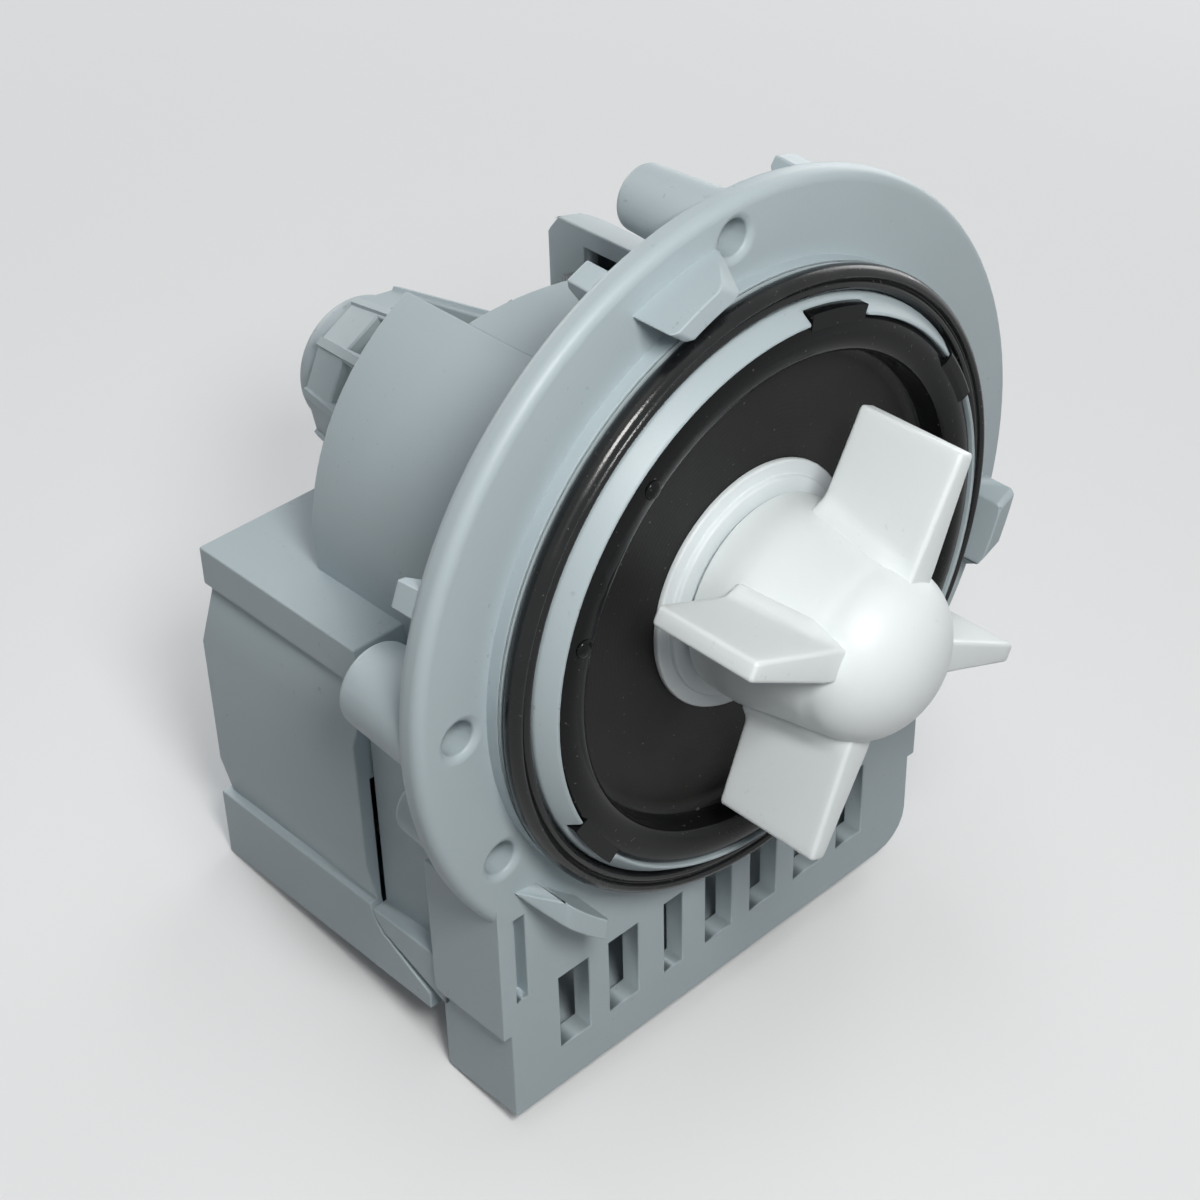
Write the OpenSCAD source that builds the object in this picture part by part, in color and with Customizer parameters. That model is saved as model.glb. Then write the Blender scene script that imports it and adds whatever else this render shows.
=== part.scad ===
// Washer drain pump with a synchronous motor, shaft along Y, impeller towards -Y.
// The origin is on the shaft axis in the front face of the flange. Sizes in mm.

/* [Flange] */
// Outer radius of the flange
flange_r = 48; // [47.5:0.5:50]
// Thickness of the flange
flange_t = 3.6; // [3.2:0.2:4.4]
// Rounding of the flange rim
rim_round = 1.4; // [0.6:0.2:1.6]
// Radius of the circle that the three screw holes lie on
screw_circle_r = 41.7; // [41.3:0.1:42.1]
// Sideways place of that circle's middle
screw_mid_x = -1.2; // [-1.6:0.1:-0.8]
// Level of that circle's middle
screw_mid_z = 1.8; // [1.4:0.1:2.2]
// Angle of the first screw hole, from +X towards +Z
screw_angle = 90; // [89:0.5:91]
// Radius of a screw hole
screw_hole_r = 2.1; // [1.6:0.1:2.4]
// How much wider a screw hole's lead-in is than the hole
screw_lead = 1; // [0.6:0.1:1.4]
// Depth of that lead-in
screw_lead_depth = 0.5; // [0.3:0.1:0.8]
// Depth of a screw hole
screw_hole_depth = 10; // [7:0.5:11]
// Radius of a screw boss at its closed end
boss_r = 3.8; // [3.6:0.1:4.2]
// How much wider a screw boss is at the flange
boss_taper = 0.7; // [0.4:0.1:1]
// Rounding of a screw boss at its closed end
boss_round = 0.8; // [0.4:0.1:1.2]
// How far the screw bosses reach behind the front face
boss_reach = 14.2; // [12.6:0.2:15]
// Angle of the extra screw boss at the left
side_boss_angle = 178.9; // [177:0.1:180]
// Radius of the extra screw boss at its closed end
side_boss_w = 5.1; // [4.4:0.1:5.2]
// Distance of the extra screw boss from the shaft
side_boss_r = 42; // [41.4:0.2:42.6]
// Width of the small wedges behind the rim
rim_wedge_w = 3.2; // [2.6:0.2:4]
// Rise of a bayonet ramp
ramp_rise = 5.9; // [5:0.1:6.4]
// How much lower the crest of a ramp is beside its slope
ramp_drop = 0.5; // [0:0.1:0.8]
// Length of a bayonet ramp from its reference angle to the foot of its slope
ramp_tail = 9.1; // [8.4:0.1:9.4]
// Length of a bayonet ramp from its reference angle to its straight end
ramp_lip = 3.3; // [2.8:0.1:3.8]
// Run of the slope
ramp_slope = 4.4; // [4:0.1:5]
// Slant of the ends of a ramp from the radial direction
ramp_slant = 36; // [0:1:40]
// Rounding at the crest of a ramp
ramp_ease = 0.6; // [0.3:0.1:0.8]
// Reference angle of the first bayonet ramp
ramp_angle = 106.5; // [106:0.1:107]
// Inner radius of the bayonet ramps
ramp_in_r = 41.3; // [40.6:0.1:41.8]
// Radial width of a bayonet ramp
ramp_width = 2.5; // [2:0.1:3]

/* [Spigot, seal and cover] */
// Outer radius of the spigot ring
spigot_r = 35.6; // [35.4:0.1:35.8]
// Wall of the spigot ring
spigot_wall = 4; // [3.6:0.2:4.4]
// How far the spigot stands out of the flange
spigot_reach = 6.3; // [6:0.1:6.6]
// Diameter of the seal ring's section
seal_section = 3.05; // [2.8:0.05:3.2]
// Height of the step that the seal ring lies on
seal_seat_h = 1.9; // [1.5:0.1:2.2]
// Radius of the groove between the two lips of the seal ring
seal_groove_r = 0.7; // [0.4:0.1:0.8]
// Depth of the recess behind the cover
recess_depth = 1.6; // [1.4:0.1:2]
// Wall of the front cover
cover_wall = 2; // [1.6:0.1:2.4]
// Thickness of the cover's bottom
cover_floor_t = 3; // [2.6:0.1:3.2]
// Thickness of the cover's rim
cover_rim_t = 1.8; // [1.4:0.1:2.2]
// How far the rim reaches over the spigot
cover_rim_lap = 2.1; // [1.8:0.1:2.2]
// How far a tab stands out of the rim
cover_tab_out = 1.3; // [0.8:0.1:1.6]
// Mean radius of the gasket behind the cover
gasket_r = 24; // [20:0.5:26]
// Width of that gasket
gasket_w = 1.6; // [1.2:0.1:2.2]
// How deep that gasket lies in the cover
gasket_sink = 1.1; // [0.8:0.1:1.4]

/* [Lower front] */
// Sideways place of the box's middle
box_mid_x = -2.2; // [-3:0.1:-1.4]
// Half width of the lower front
front_half_w = 36.6; // [36.6:0.1:37.2]
// How much narrower the foot is on each side
foot_inset = 1.2; // [0.6:0.1:1.6]
// Level of the foot's underside
foot_z = -60.5; // [-63:0.5:-59]
// Level of the foot's top
foot_top_z = -46.8; // [-47.4:0.1:-46.4]
// Depth of the foot from front to back
foot_depth = 12.4; // [11:0.2:13]
// Wall of the lower front
front_wall = 3; // [2.4:0.2:3.4]
// Rounding of the lower right corner
foot_round = 5; // [3:0.5:7]
// Pitch of the vent slots
slot_pitch = 8.2; // [7.8:0.1:8.4]
// Width of a vent slot
slot_w = 4.8; // [3.6:0.2:5.2]
// Left edge of the first vent slot
slot_x = -29.9; // [-31:0.1:-29]
// Level of the slots' lower edge
slot_z = -54.1; // [-55:0.1:-53]
// Height of the slots
slot_h = 11.4; // [9:0.2:12]

/* [Coil cover] */
// Level of the coil cover's top plate
box_top_z = -3.7; // [-4.4:0.1:-3]
// Height of the lip round the top plate
lip_h = 5.3; // [4.4:0.1:6]
// How far the lip stays inside the wall
lip_inset = 1.4; // [0.8:0.1:2]
// Half width of the coil cover
box_half_w = 36; // [35.8:0.1:36.2]
// Place of the parting face between front and rear
parting_y = 24.6; // [24:0.2:25.4]
// Place of the coil cover's rear face
box_back_y = 53.6; // [53.2:0.2:56]
// Level of the skirt's top
skirt_top_z = -41.6; // [-42:0.1:-41.2]
// Level of the skirt's underside
skirt_z = -52; // [-53:0.2:-51.6]
// Wall of the coil cover
box_wall = 2; // [1.6:0.1:2.2]
// Outer radius of the pole shrouds
shroud_r = 29.8; // [29.4:0.1:30.2]
// Wall of the pole shrouds
shroud_wall = 2.4; // [1.8:0.1:2.6]
// Place of the shrouds' rear end
shroud_back_y = 40; // [40:0.5:42]
// Half width of the gap between the shrouds
shroud_gap = 10.9; // [10:0.1:12]
// Length of the cheeks beside the gap at the rear of the shrouds
cheek_len = 6.3; // [4:0.1:7]
// How far the bridge reaches behind the front face
bridge_back_y = 30; // [28:0.5:32]
// How far the bridge lies below the shrouds
bridge_drop = 0.5; // [0.3:0.1:1]

/* [Fan cover] */
// Radius of the fan cover at its base
fan_cover_r1 = 15.2; // [15:0.1:16]
// Radius of the fan cover at its end
fan_cover_r2 = 11; // [10.8:0.1:11.6]
// Length of the fan cover's cone
fan_cover_len = 25; // [24:0.5:28]
// Wall of the fan cover
fan_cover_wall = 1.6; // [1.3:0.1:1.6]
// Number of ribs and vents
vent_count = 10; // [8:1:12]
// Length of a vent
vent_len = 16; // [10:0.5:17]
// Angle of the first rib
rib_angle = 28; // [0:1:35]
// Width of a rib
rib_w = 1.4; // [1.2:0.1:2]
// How far a rib stands out
rib_h = 0.3; // [0.2:0.1:0.6]
// Radius of the end button
button_r = 9; // [8:0.1:9.4]
// Height of the end button
button_h = 5; // [3:0.1:5.4]

/* [Rotor] */
// Radius of the shaft
shaft_r = 2; // [1.9:0.05:2.5]
// Radial clearance of a turning fit
turn_gap = 0.05; // [0.03:0.01:0.09]
// Outer radius of the magnet
magnet_r = 9.6; // [9:0.1:9.8]
// Length of the magnet
magnet_len = 21; // [18:0.5:22]
// Inner radius of the rotor sleeve
sleeve_r = 10.6; // [10.4:0.1:11]
// Wall of the rotor sleeve
sleeve_wall = 1.9; // [1.4:0.1:2.2]
// Outer radius of the bearing bushes
bearing_r = 5.5; // [5:0.1:6.5]
// Length of the bearing bushes
bearing_len = 5; // [4.4:0.1:5]
// Thickness of the thrust washers
washer_t = 0.6; // [0.4:0.1:0.6]
// Outer radius of the thrust washers
washer_r = 4.2; // [3.6:0.1:4.8]
// Wall of the hub inside the magnet
carrier_wall = 2.4; // [2:0.1:3]
// Wall of the fan's hub
fan_hub_wall = 2.2; // [1.6:0.1:3]
// Outer radius of the fan's blades
fan_r = 10.2; // [9:0.2:10.2]
// Length of the fan's blades
fan_len = 7; // [5:0.5:7.5]
// Number of fan blades
fan_blades = 8; // [6:1:10]

/* [Stator] */
// Thickness of the lamination stack
stack_t = 18; // [16:0.5:19]
// Middle of the stack along the shaft
stack_mid_y = 23.5; // [22.5:0.5:24]
// Outer radius of the pole ring
pole_r = 25.1; // [24:0.1:25.6]
// Width of a core leg
leg_w = 11; // [10:0.2:11.4]
// Height of the core's yoke
yoke_h = 8; // [7:0.2:8.4]
// Half width of the gap between the pole tips
pole_gap = 4; // [3:0.2:5]
// Wall of a bobbin
bobbin_wall = 1.2; // [1:0.1:1.4]
// Thickness of a winding
winding_t = 3.2; // [2.4:0.1:3.3]
// Width of a spade terminal
spade_w = 6.3; // [4.8:0.1:6.3]
// Thickness of a spade terminal
spade_t = 0.8; // [0.6:0.1:1]
// Length of a spade terminal
spade_len = 13; // [12:0.2:13.4]
// How deep a spade terminal sits in the socket's floor
spade_sink = 4.5; // [4:0.1:4.8]
// Radius of the hole in a spade terminal
spade_hole_r = 0.8; // [0.6:0.1:1]
// Length of the thermal fuse
fuse_len = 10; // [8:0.5:11]
// Height of the thermal fuse
fuse_h = 5; // [4:0.5:6]
// Thickness of the thermal fuse
fuse_t = 2; // [1.6:0.1:2.6]
// Distance between the spade terminals
spade_pitch = 10; // [9:0.2:10.4]

/* [Impeller] */
// Radius of the blade tips
blade_tip_r = 24.4; // [22:0.2:25.4]
// Thickness of a blade at its tip
blade_tip_t = 2.4; // [1.8:0.1:3]
// Thickness of a blade at its root
blade_root_t = 4.4; // [3.4:0.1:5]
// Place of the blades' rear edge
blade_back_y = -8.3; // [-9:0.1:-7.8]
// Place of the blades' front edge
blade_front_y = -22.6; // [-23.6:0.1:-21.6]
// Angle of the first blade, from +X towards +Z
blade_angle = 63.6; // [0:0.2:90]
// Radius of the bell's rear rim
bell_r = 12.2; // [11.8:0.1:12.6]
// Place of the bell's rear rim
bell_back_y = -3.6; // [-3.8:0.1:-3.5]
// Place of the tip of the nose
nose_y = -27.5; // [-28.5:0.1:-27]
// Inner radius of the bell
bell_hollow_r = 9.6; // [9.2:0.1:9.8]
// Half angle of the dog and of the stop
dog_half_angle = 28; // [22:1:30]
// Angle that a stop buffer takes up
buffer_angle = 7; // [5:1:9]
// Radius of the dog's hub
dog_hub_r = 5; // [4.6:0.1:5.4]
// Length of the dog
dog_len = 7.8; // [7:0.1:8]
// Thickness of the retaining disc
disc_t = 1.4; // [1:0.1:1.5]

/* [Clearances] */
// Clearance of pieces that sit in each other
seat_gap = 0.05; // [0.03:0.01:0.1]
// Clearance of a piece pressed on the shaft
press_gap = 0.01; // [0.005:0.005:0.02]
// Gap at the visible seams
seam_gap = 0.3; // [0.2:0.05:0.4]
// Clear space round a turning piece
run_gap = 0.4; // [0.3:0.05:0.5]

/* [Hidden] */
$fn = 64;
// A length that reaches beyond the whole part, for cuts
beyond = 80;
hub_plate_r = 20;
wall_back_y = flange_t + 1.6;
screw_count = 3;
ramp_count = 3;
blade_count = 4;
wedge_angles = [74.5, 112, 158];
spigot_in_r = spigot_r - spigot_wall;
seal_mid_r = spigot_r + seal_section / 2 + 0.01;
seal_out_r = seal_mid_r + seal_section / 2;
cover_rim_r = spigot_in_r + cover_rim_lap;
ledge_y = -spigot_reach + cover_rim_t - 0.1;
tab_angles = [75.5, 212, 324];
tab_half_angle = 7.5;
cover_rim_ease = 0.6;
bump_angles = [129, 162];
bump_half_angle = 2.5;
bump_rise = 0.5;
collar_tube_r = 9;
collar_flange_r = 15.4;
collar_flange_t = 0.7;
collar_step_r = 13.7;
collar_step_t = 0.7;
collar_ease = 0.3;
collar_bore_r = 6.3;
collar_step_in = 1;
lip_seal_t = 2;
lip_seal_len = 5.2;
cover_floor_back = recess_depth - 0.2;
cover_floor_front = cover_floor_back - cover_floor_t;
collar_front_y = cover_floor_front - collar_flange_t - collar_step_t;
shell_half_w = box_half_w - box_wall - 0.2;
shell_wall = 2.2;
shell_top_z = box_top_z - 4.3;
front_top_z = -26;
hollow_lift = 6;
tongue_half_t = (box_half_w - shell_half_w + 1) / 2;
tongue_x = box_half_w - tongue_half_t;
slot_count = 7;
short_slot = 2;
short_slot_trim = [1.1, 0.6];
key_slot_w = 1.8;
key_slot_x = slot_x - 6.6;
key_slot_top_z = slot_z + 25;
coil_top_z = -pole_r + 0.6;
hollow_top_z = -23;
sleeve_out_r = sleeve_r + sleeve_wall;
sleeve_seat_r = sleeve_out_r + seat_gap;
sleeve_seat_wall = 2.4;
sleeve_seat_len = 6;
sleeve_front_y = wall_back_y + seat_gap;
bearing_front_y = sleeve_front_y + 1;
mount_lip = 0.2;
carrier_front_y = bearing_front_y + bearing_len + washer_t + 0.25;
carrier_end = 1;
carrier_len = magnet_len + 2 * carrier_end;
carrier_back_y = carrier_front_y + carrier_len;
bearing_back_y = carrier_back_y + washer_t + 0.25;
sleeve_back_y = max(bearing_back_y + bearing_len + 0.8, shroud_back_y + 1.5);
fan_y = sleeve_back_y + 3;
shaft_back_y = fan_y + fan_len + 2;
shaft_front_y = nose_y + 4.5;
coil_side = seat_gap + bobbin_wall + winding_t;
leg_out_x = box_mid_x + shell_half_w - shell_wall - run_gap - coil_side;
leg_in_x = leg_out_x - leg_w;
yoke_z = skirt_z + box_wall;
coil_low_z = yoke_z + yoke_h + 0.1;
coil_high_z = coil_top_z - 1.4;
blade_root_r = 8;
dog_back_y = bell_back_y - disc_t - 0.6;
dog_front_y = dog_back_y - dog_len;
hollow_front_y = dog_front_y - 0.4;
socket_half_w = 11;
socket_z = -33.5;
socket_h = 11;
socket_floor_y = 45;
socket_wall = 2;
socket_floor_t = 2.6;
side_room = box_half_w - box_wall - socket_half_w - socket_wall;
slit_gap = 0.02;
trough_gap = 0.8;
vent_y = sleeve_back_y + 1.6;
vent_half_w = fan_cover_r2 * sin(180 / vent_count) - rib_w / 2;
button_round = 2.5;

// A round bar along Y from y0 to y1.
module bar(r, y0, y1, r2 = -1) {
    translate([0, y0, 0])
        rotate([-90, 0, 0])
            cylinder(r1 = r, r2 = r2 < 0 ? r : r2, h = y1 - y0);
}

// A ring along Y.
module ring(r_out, r_in, y0, y1) {
    difference() {
        bar(r_out, y0, y1);
        bar(r_in, y0 - 1, y1 + 1);
    }
}

// A profile given in radius and Y, spun round the shaft.
module spin(points) {
    rotate([-90, 0, 0])
        rotate_extrude()
            polygon(points);
}

// A profile given in X and Z, drawn out along Y.
module slab(y0, y1) {
    translate([0, y1, 0])
        rotate([90, 0, 0])
            linear_extrude(height = y1 - y0)
                children();
}

// A profile given in Y and Z, drawn out along X.
module side_slab(x0, x1, points) {
    translate([x0, 0, 0])
        rotate([90, 0, 90])
            linear_extrude(height = x1 - x0)
                polygon(points);
}

// A box between two corners.
module block(a, b) {
    translate(a)
        cube(b - a);
}

// Turns a piece from +X to an angle towards +Z.
module at_angle(a) {
    rotate([0, -a, 0])
        children();
}

// The points of an arc.
function arc(cx, cy, r, a0, a1, n = 5) =
    [for (i = [0 : n]) [cx + r * cos(a0 + (a1 - a0) * i / n), cy + r * sin(a0 + (a1 - a0) * i / n)]];

// A wedge of the XZ plane as a profile, from angle a0 to a1.
function wedge(r, a0, a1, n = 6) =
    concat([[0, 0]], [for (i = [0 : n]) r * [cos(a0 + (a1 - a0) * i / n), sin(a0 + (a1 - a0) * i / n)]]);

// Part of a ring between two angles.
module sector(r_out, r_in, y0, y1, a0, a1) {
    intersection() {
        ring(r_out, r_in, y0, y1);
        slab(y0 - 1, y1 + 1)
            polygon(wedge(r_out * 2, a0, a1));
    }
}

// The round of the flange with the spigot, as one revolve.
module flange_round() {
    spin(concat(
        [[collar_tube_r + seat_gap, recess_depth], [spigot_in_r, recess_depth],
            [spigot_in_r, ledge_y], [cover_rim_r + seat_gap, ledge_y],
            [cover_rim_r + seat_gap, -spigot_reach], [cover_rim_r + 0.4, -spigot_reach],
            [spigot_r, ledge_y + 0.5], [spigot_r, -seal_seat_h],
            [seal_out_r - 0.4, -seal_seat_h], [seal_out_r - 0.2, -seal_seat_h + 0.2],
            [seal_out_r - 0.2, 0]],
        arc(flange_r - rim_round, rim_round, rim_round, -90, 0),
        arc(flange_r - rim_round, flange_t - rim_round, rim_round, 0, 90),
        [[hub_plate_r, flange_t], [hub_plate_r, wall_back_y], [collar_tube_r + seat_gap, wall_back_y]]));
}

// One bayonet ramp: a curved rib with a slope at one end and a straight edge at the other, both slanted.
module bayonet_ramp() {
    turn = cos(ramp_slant);
    foot = -ramp_tail * turn;
    start = (-ramp_tail + ramp_slope) * turn;
    end = ramp_lip * turn;
    crest = -ramp_rise + ramp_drop;
    intersection() {
        ring(ramp_in_r + ramp_width, ramp_in_r, -ramp_rise - 1, flange_t / 2);
        at_angle(ramp_angle)
            translate([ramp_in_r + ramp_width / 2, 0, 0])
                rotate([0, -ramp_slant, 0])
                    translate([-2 * ramp_width, 0, 0])
                        rotate([90, 0, 90])
                            linear_extrude(height = 4 * ramp_width)
                                polygon([[flange_t / 2, foot], [0, foot],
                                    [crest + ramp_ease, start - ramp_ease / 2], [crest, start + ramp_ease],
                                    [-ramp_rise, end - ramp_ease], [-ramp_rise + ramp_ease, end],
                                    [flange_t / 2, end]]);
    }
}

// Puts a piece at each of the three screw places.
module at_screws() {
    for (k = [0 : screw_count - 1])
        translate([screw_mid_x, 0, screw_mid_z])
            at_angle(screw_angle + 360 * k / screw_count)
                translate([screw_circle_r, 0, 0])
                    children();
}

// Puts a piece at the extra screw place at the left.
module at_side_screw() {
    at_angle(side_boss_angle)
        translate([side_boss_r, 0, 0])
            children();
}

// A tapered screw boss behind the flange.
module screw_boss(r) {
    spin(concat([[0, flange_t / 2], [r + boss_taper, flange_t / 2]],
        arc(r - boss_round, boss_reach - boss_round, boss_round, 0, 90), [[0, boss_reach]]));
}

// A blind screw hole with a lead-in and room for the screw's head above it.
module screw_hole() {
    bar(screw_hole_r, -1, screw_hole_depth);
    bar(screw_hole_r + screw_lead, -ramp_rise - 1, 0);
    bar(screw_hole_r + screw_lead, 0, screw_lead_depth, screw_hole_r);
}

// A small wedge behind the rim.
module rim_wedge() {
    translate([0, 0, -rim_wedge_w / 2])
        linear_extrude(height = rim_wedge_w)
            polygon([[flange_r - 7, flange_t - 0.5], [flange_r - 0.4, flange_t - 0.5],
                [flange_r - 0.2, flange_t + 2.6], [flange_r - 1.6, flange_t + 3]]);
}

// The outline of the lower front, seen from the front.
module front_outline() {
    left = box_mid_x - front_half_w;
    right = box_mid_x + front_half_w;
    polygon(concat(
        [[left, front_top_z], [left, foot_top_z], [left + foot_inset, foot_top_z],
            [left + foot_inset, foot_z]],
        arc(right - foot_inset - foot_round, foot_z + foot_round, foot_round, -90, 0),
        [[right - foot_inset, foot_top_z], [right, foot_top_z], [right, front_top_z]]));
}

// The outline of the space behind the lower front.
module front_hollow() {
    left = box_mid_x - front_half_w + front_wall;
    right = box_mid_x + front_half_w - front_wall;
    polygon(concat(
        [[left, foot_top_z + hollow_lift], [left, foot_z + front_wall]],
        arc(right - foot_round, foot_z + front_wall + foot_round, foot_round, -90, 0),
        [[right, foot_top_z + hollow_lift]]));
}

// Room for the legs of the core between the coils and the poles.
module leg_room() {
    block([-leg_out_x - run_gap, stack_mid_y - stack_t / 2 - 1.5, hollow_top_z - 1],
        [leg_out_x + run_gap, stack_mid_y + stack_t / 2 + 1.5, 0]);
}

// The tongue of the front housing over the skirt, seen from the side.
tongue = [[foot_depth - 1, skirt_top_z - 0.4], [parting_y - seam_gap, skirt_top_z - 0.4],
    [parting_y - 0.6 - seam_gap, skirt_top_z - 1.8], [parting_y - 2.4, skirt_top_z - 3.3],
    [foot_depth - 1, skirt_top_z - 7.6]];

module front_housing() {
    color([0.66, 0.71, 0.73])
        difference() {
            union() {
                flange_round();
                for (k = [0 : ramp_count - 1])
                    at_angle(360 * k / ramp_count)
                        bayonet_ramp();
                at_screws()
                    screw_boss(boss_r);
                at_side_screw()
                    screw_boss(side_boss_w);
                for (a = wedge_angles)
                    at_angle(a)
                        rim_wedge();
                difference() {
                    slab(0, front_wall)
                        front_outline();
                    bar(spigot_in_r, -1, recess_depth);
                }
                slab(front_wall - 1, foot_depth)
                    difference() {
                        front_outline();
                        front_hollow();
                    }
                block([box_mid_x - shell_half_w, flange_t - 1, foot_top_z + 0.8],
                    [box_mid_x + shell_half_w, parting_y - seam_gap, shell_top_z]);
                for (s = [-1, 1])
                    translate([box_mid_x + s * tongue_x, 0, 0])
                        side_slab(-tongue_half_t, tongue_half_t, tongue);
                intersection() {
                    ring(shroud_r - bridge_drop, shroud_r - bridge_drop - shroud_wall, flange_t - 1,
                        bridge_back_y);
                    translate([box_mid_x, 0, 10])
                        linear_extrude(height = shroud_r)
                            polygon([[-shroud_gap + seam_gap, 0], [shroud_gap - seam_gap, 0],
                                [shroud_gap - seam_gap, bridge_back_y - 9],
                                [-shroud_gap + seam_gap, bridge_back_y]]);
                }
                ring(sleeve_seat_r + sleeve_seat_wall, sleeve_seat_r, wall_back_y - 1,
                    wall_back_y + sleeve_seat_len);
            }
            // Room for the coils, the poles and the sleeve.
            block([box_mid_x - shell_half_w + shell_wall, wall_back_y, foot_top_z - 1],
                [box_mid_x + shell_half_w - shell_wall, parting_y + 1, hollow_top_z]);
            difference() {
                bar(shroud_r - shroud_wall, wall_back_y, parting_y + 1);
                bar(sleeve_seat_r + sleeve_seat_wall, wall_back_y - 1, wall_back_y + sleeve_seat_len);
                block([-beyond, 0, 0], [beyond, beyond, beyond]);
            }
            bar(sleeve_seat_r, wall_back_y, parting_y);
            bar(collar_tube_r + seat_gap, recess_depth - 1, wall_back_y + 1);
            leg_room();
            at_screws()
                screw_hole();
            at_side_screw()
                screw_hole();
            for (a = tab_angles)
                sector(spigot_r + 1, cover_rim_r - 1, -spigot_reach - 1, ledge_y, a - tab_half_angle - 0.5,
                    a + tab_half_angle + 0.5);
            for (k = [0 : slot_count - 1]) {
                x = slot_x + slot_pitch * k;
                trim = k == short_slot ? short_slot_trim : [0, 0];
                block([x + trim[0], -1, slot_z], [x + slot_w - trim[1], wall_back_y + 1, slot_z + slot_h]);
            }
            block([key_slot_x, -1, slot_z + slot_h + 0.8],
                [key_slot_x + key_slot_w, front_wall - 1, key_slot_top_z]);
        }
}

module flange_seal() {
    color([0.06, 0.06, 0.06])
        rotate([-90, 0, 0])
            rotate_extrude()
                translate([seal_mid_r, -seal_seat_h - seal_section / 2 - 0.01])
                    difference() {
                        circle(d = seal_section, $fn = 32);
                        translate([0, -seal_section / 2])
                            circle(r = seal_groove_r, $fn = 16);
                    }
}

module front_cover() {
    rim_r = cover_rim_r;
    plug_r = spigot_in_r - 0.15;
    dish_r = plug_r - cover_wall;
    rim_back = ledge_y - 0.02;
    rim_front = rim_back - cover_rim_t;
    color([0.09, 0.09, 0.09])
        difference() {
            union() {
                spin([[collar_tube_r + seat_gap, cover_floor_front], [dish_r - 1, cover_floor_front],
                    [dish_r, cover_floor_front - 1], [dish_r, rim_front + cover_rim_ease],
                    [dish_r + cover_rim_ease, rim_front], [rim_r - cover_rim_ease, rim_front],
                    [rim_r, rim_front + cover_rim_ease], [rim_r, rim_back], [plug_r, rim_back],
                    [plug_r, cover_floor_back], [collar_tube_r + seat_gap, cover_floor_back]]);
                for (a = tab_angles)
                    sector(rim_r + cover_tab_out, rim_r - 1, rim_front + 0.3, rim_back, a - tab_half_angle,
                        a + tab_half_angle);
                for (a = bump_angles)
                    sector(rim_r - 0.8, dish_r + 0.6, rim_front - bump_rise, rim_back, a - bump_half_angle,
                        a + bump_half_angle);
            }
            // Groove for the gasket.
            ring(gasket_r + gasket_w / 2 + seat_gap, gasket_r - gasket_w / 2 - seat_gap,
                cover_floor_back - gasket_sink, cover_floor_back + 1);
        }
}

module cover_gasket() {
    color([0.1, 0.1, 0.1])
        ring(gasket_r + gasket_w / 2, gasket_r - gasket_w / 2, cover_floor_back - gasket_sink, recess_depth);
}

module bearing_collar() {
    color([0.92, 0.93, 0.91])
        spin([[collar_bore_r, collar_front_y], [collar_step_r - collar_ease, collar_front_y],
            [collar_step_r, collar_front_y + collar_ease], [collar_step_r, collar_front_y + collar_step_t],
            [collar_flange_r - collar_ease, collar_front_y + collar_step_t],
            [collar_flange_r, collar_front_y + collar_step_t + collar_ease],
            [collar_flange_r, cover_floor_front],
            [collar_tube_r, cover_floor_front], [collar_tube_r, wall_back_y],
            [shaft_r + 1, wall_back_y], [shaft_r + 1, recess_depth + collar_step_in],
            [collar_bore_r, recess_depth + collar_step_in]]);
}

module shaft_seal() {
    back = recess_depth + collar_step_in;
    heel = back - lip_seal_t;
    lip = back - lip_seal_len;
    bore = shaft_r + turn_gap;
    skin = collar_bore_r - seat_gap;
    color([0.12, 0.12, 0.12])
        spin([[bore, back], [bore, heel + lip_seal_t / 5], [shaft_r + lip_seal_t / 2, heel],
            [shaft_r + lip_seal_t / 2, lip + lip_seal_t / 2], [bore, lip + lip_seal_t / 4], [bore, lip],
            [shaft_r + lip_seal_t, lip], [shaft_r + lip_seal_t, heel], [skin, heel], [skin, back]]);
}

// A plain bush that the shaft turns in.
module bush(y) {
    difference() {
        bar(bearing_r, y, y + bearing_len);
        bar(shaft_r + turn_gap, y - 1, y + bearing_len + 1);
    }
}

// A rubber ring that holds a bush in the sleeve.
module bush_mount(y) {
    ring(sleeve_r - seat_gap, bearing_r + seat_gap, y - mount_lip, y + bearing_len + mount_lip);
}

module front_bearing() {
    color([0.55, 0.45, 0.3])
        bush(bearing_front_y);
}

module front_mount() {
    color([0.14, 0.14, 0.14])
        bush_mount(bearing_front_y);
}

module rear_bearing() {
    color([0.55, 0.45, 0.3])
        bush(bearing_back_y);
}

module rear_mount() {
    color([0.14, 0.14, 0.14])
        bush_mount(bearing_back_y);
}

module rotor_sleeve() {
    color([0.8, 0.81, 0.8])
        ring(sleeve_out_r, sleeve_r, sleeve_front_y, sleeve_back_y);
}

// The U core seen along the shaft.
module core_outline() {
    difference() {
        union() {
            circle(r = pole_r);
            for (s = [-1, 1])
                translate([s * (leg_in_x + leg_out_x) / 2 - leg_w / 2, yoke_z])
                    square([leg_w, -yoke_z]);
            translate([-leg_out_x, yoke_z])
                square([2 * leg_out_x, yoke_h]);
        }
        circle(r = sleeve_seat_r);
        translate([-pole_gap, yoke_z + yoke_h])
            square([2 * pole_gap, 2 * pole_r - yoke_z]);
    }
}

// Places of the rivets through the core.
rivet_spots = [[leg_in_x + leg_w / 2, yoke_z + yoke_h / 2], [-leg_in_x - leg_w / 2, yoke_z + yoke_h / 2],
    [pole_r - 5, 3], [-pole_r + 5, 3]];
rivet_r = 1.8;

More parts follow.
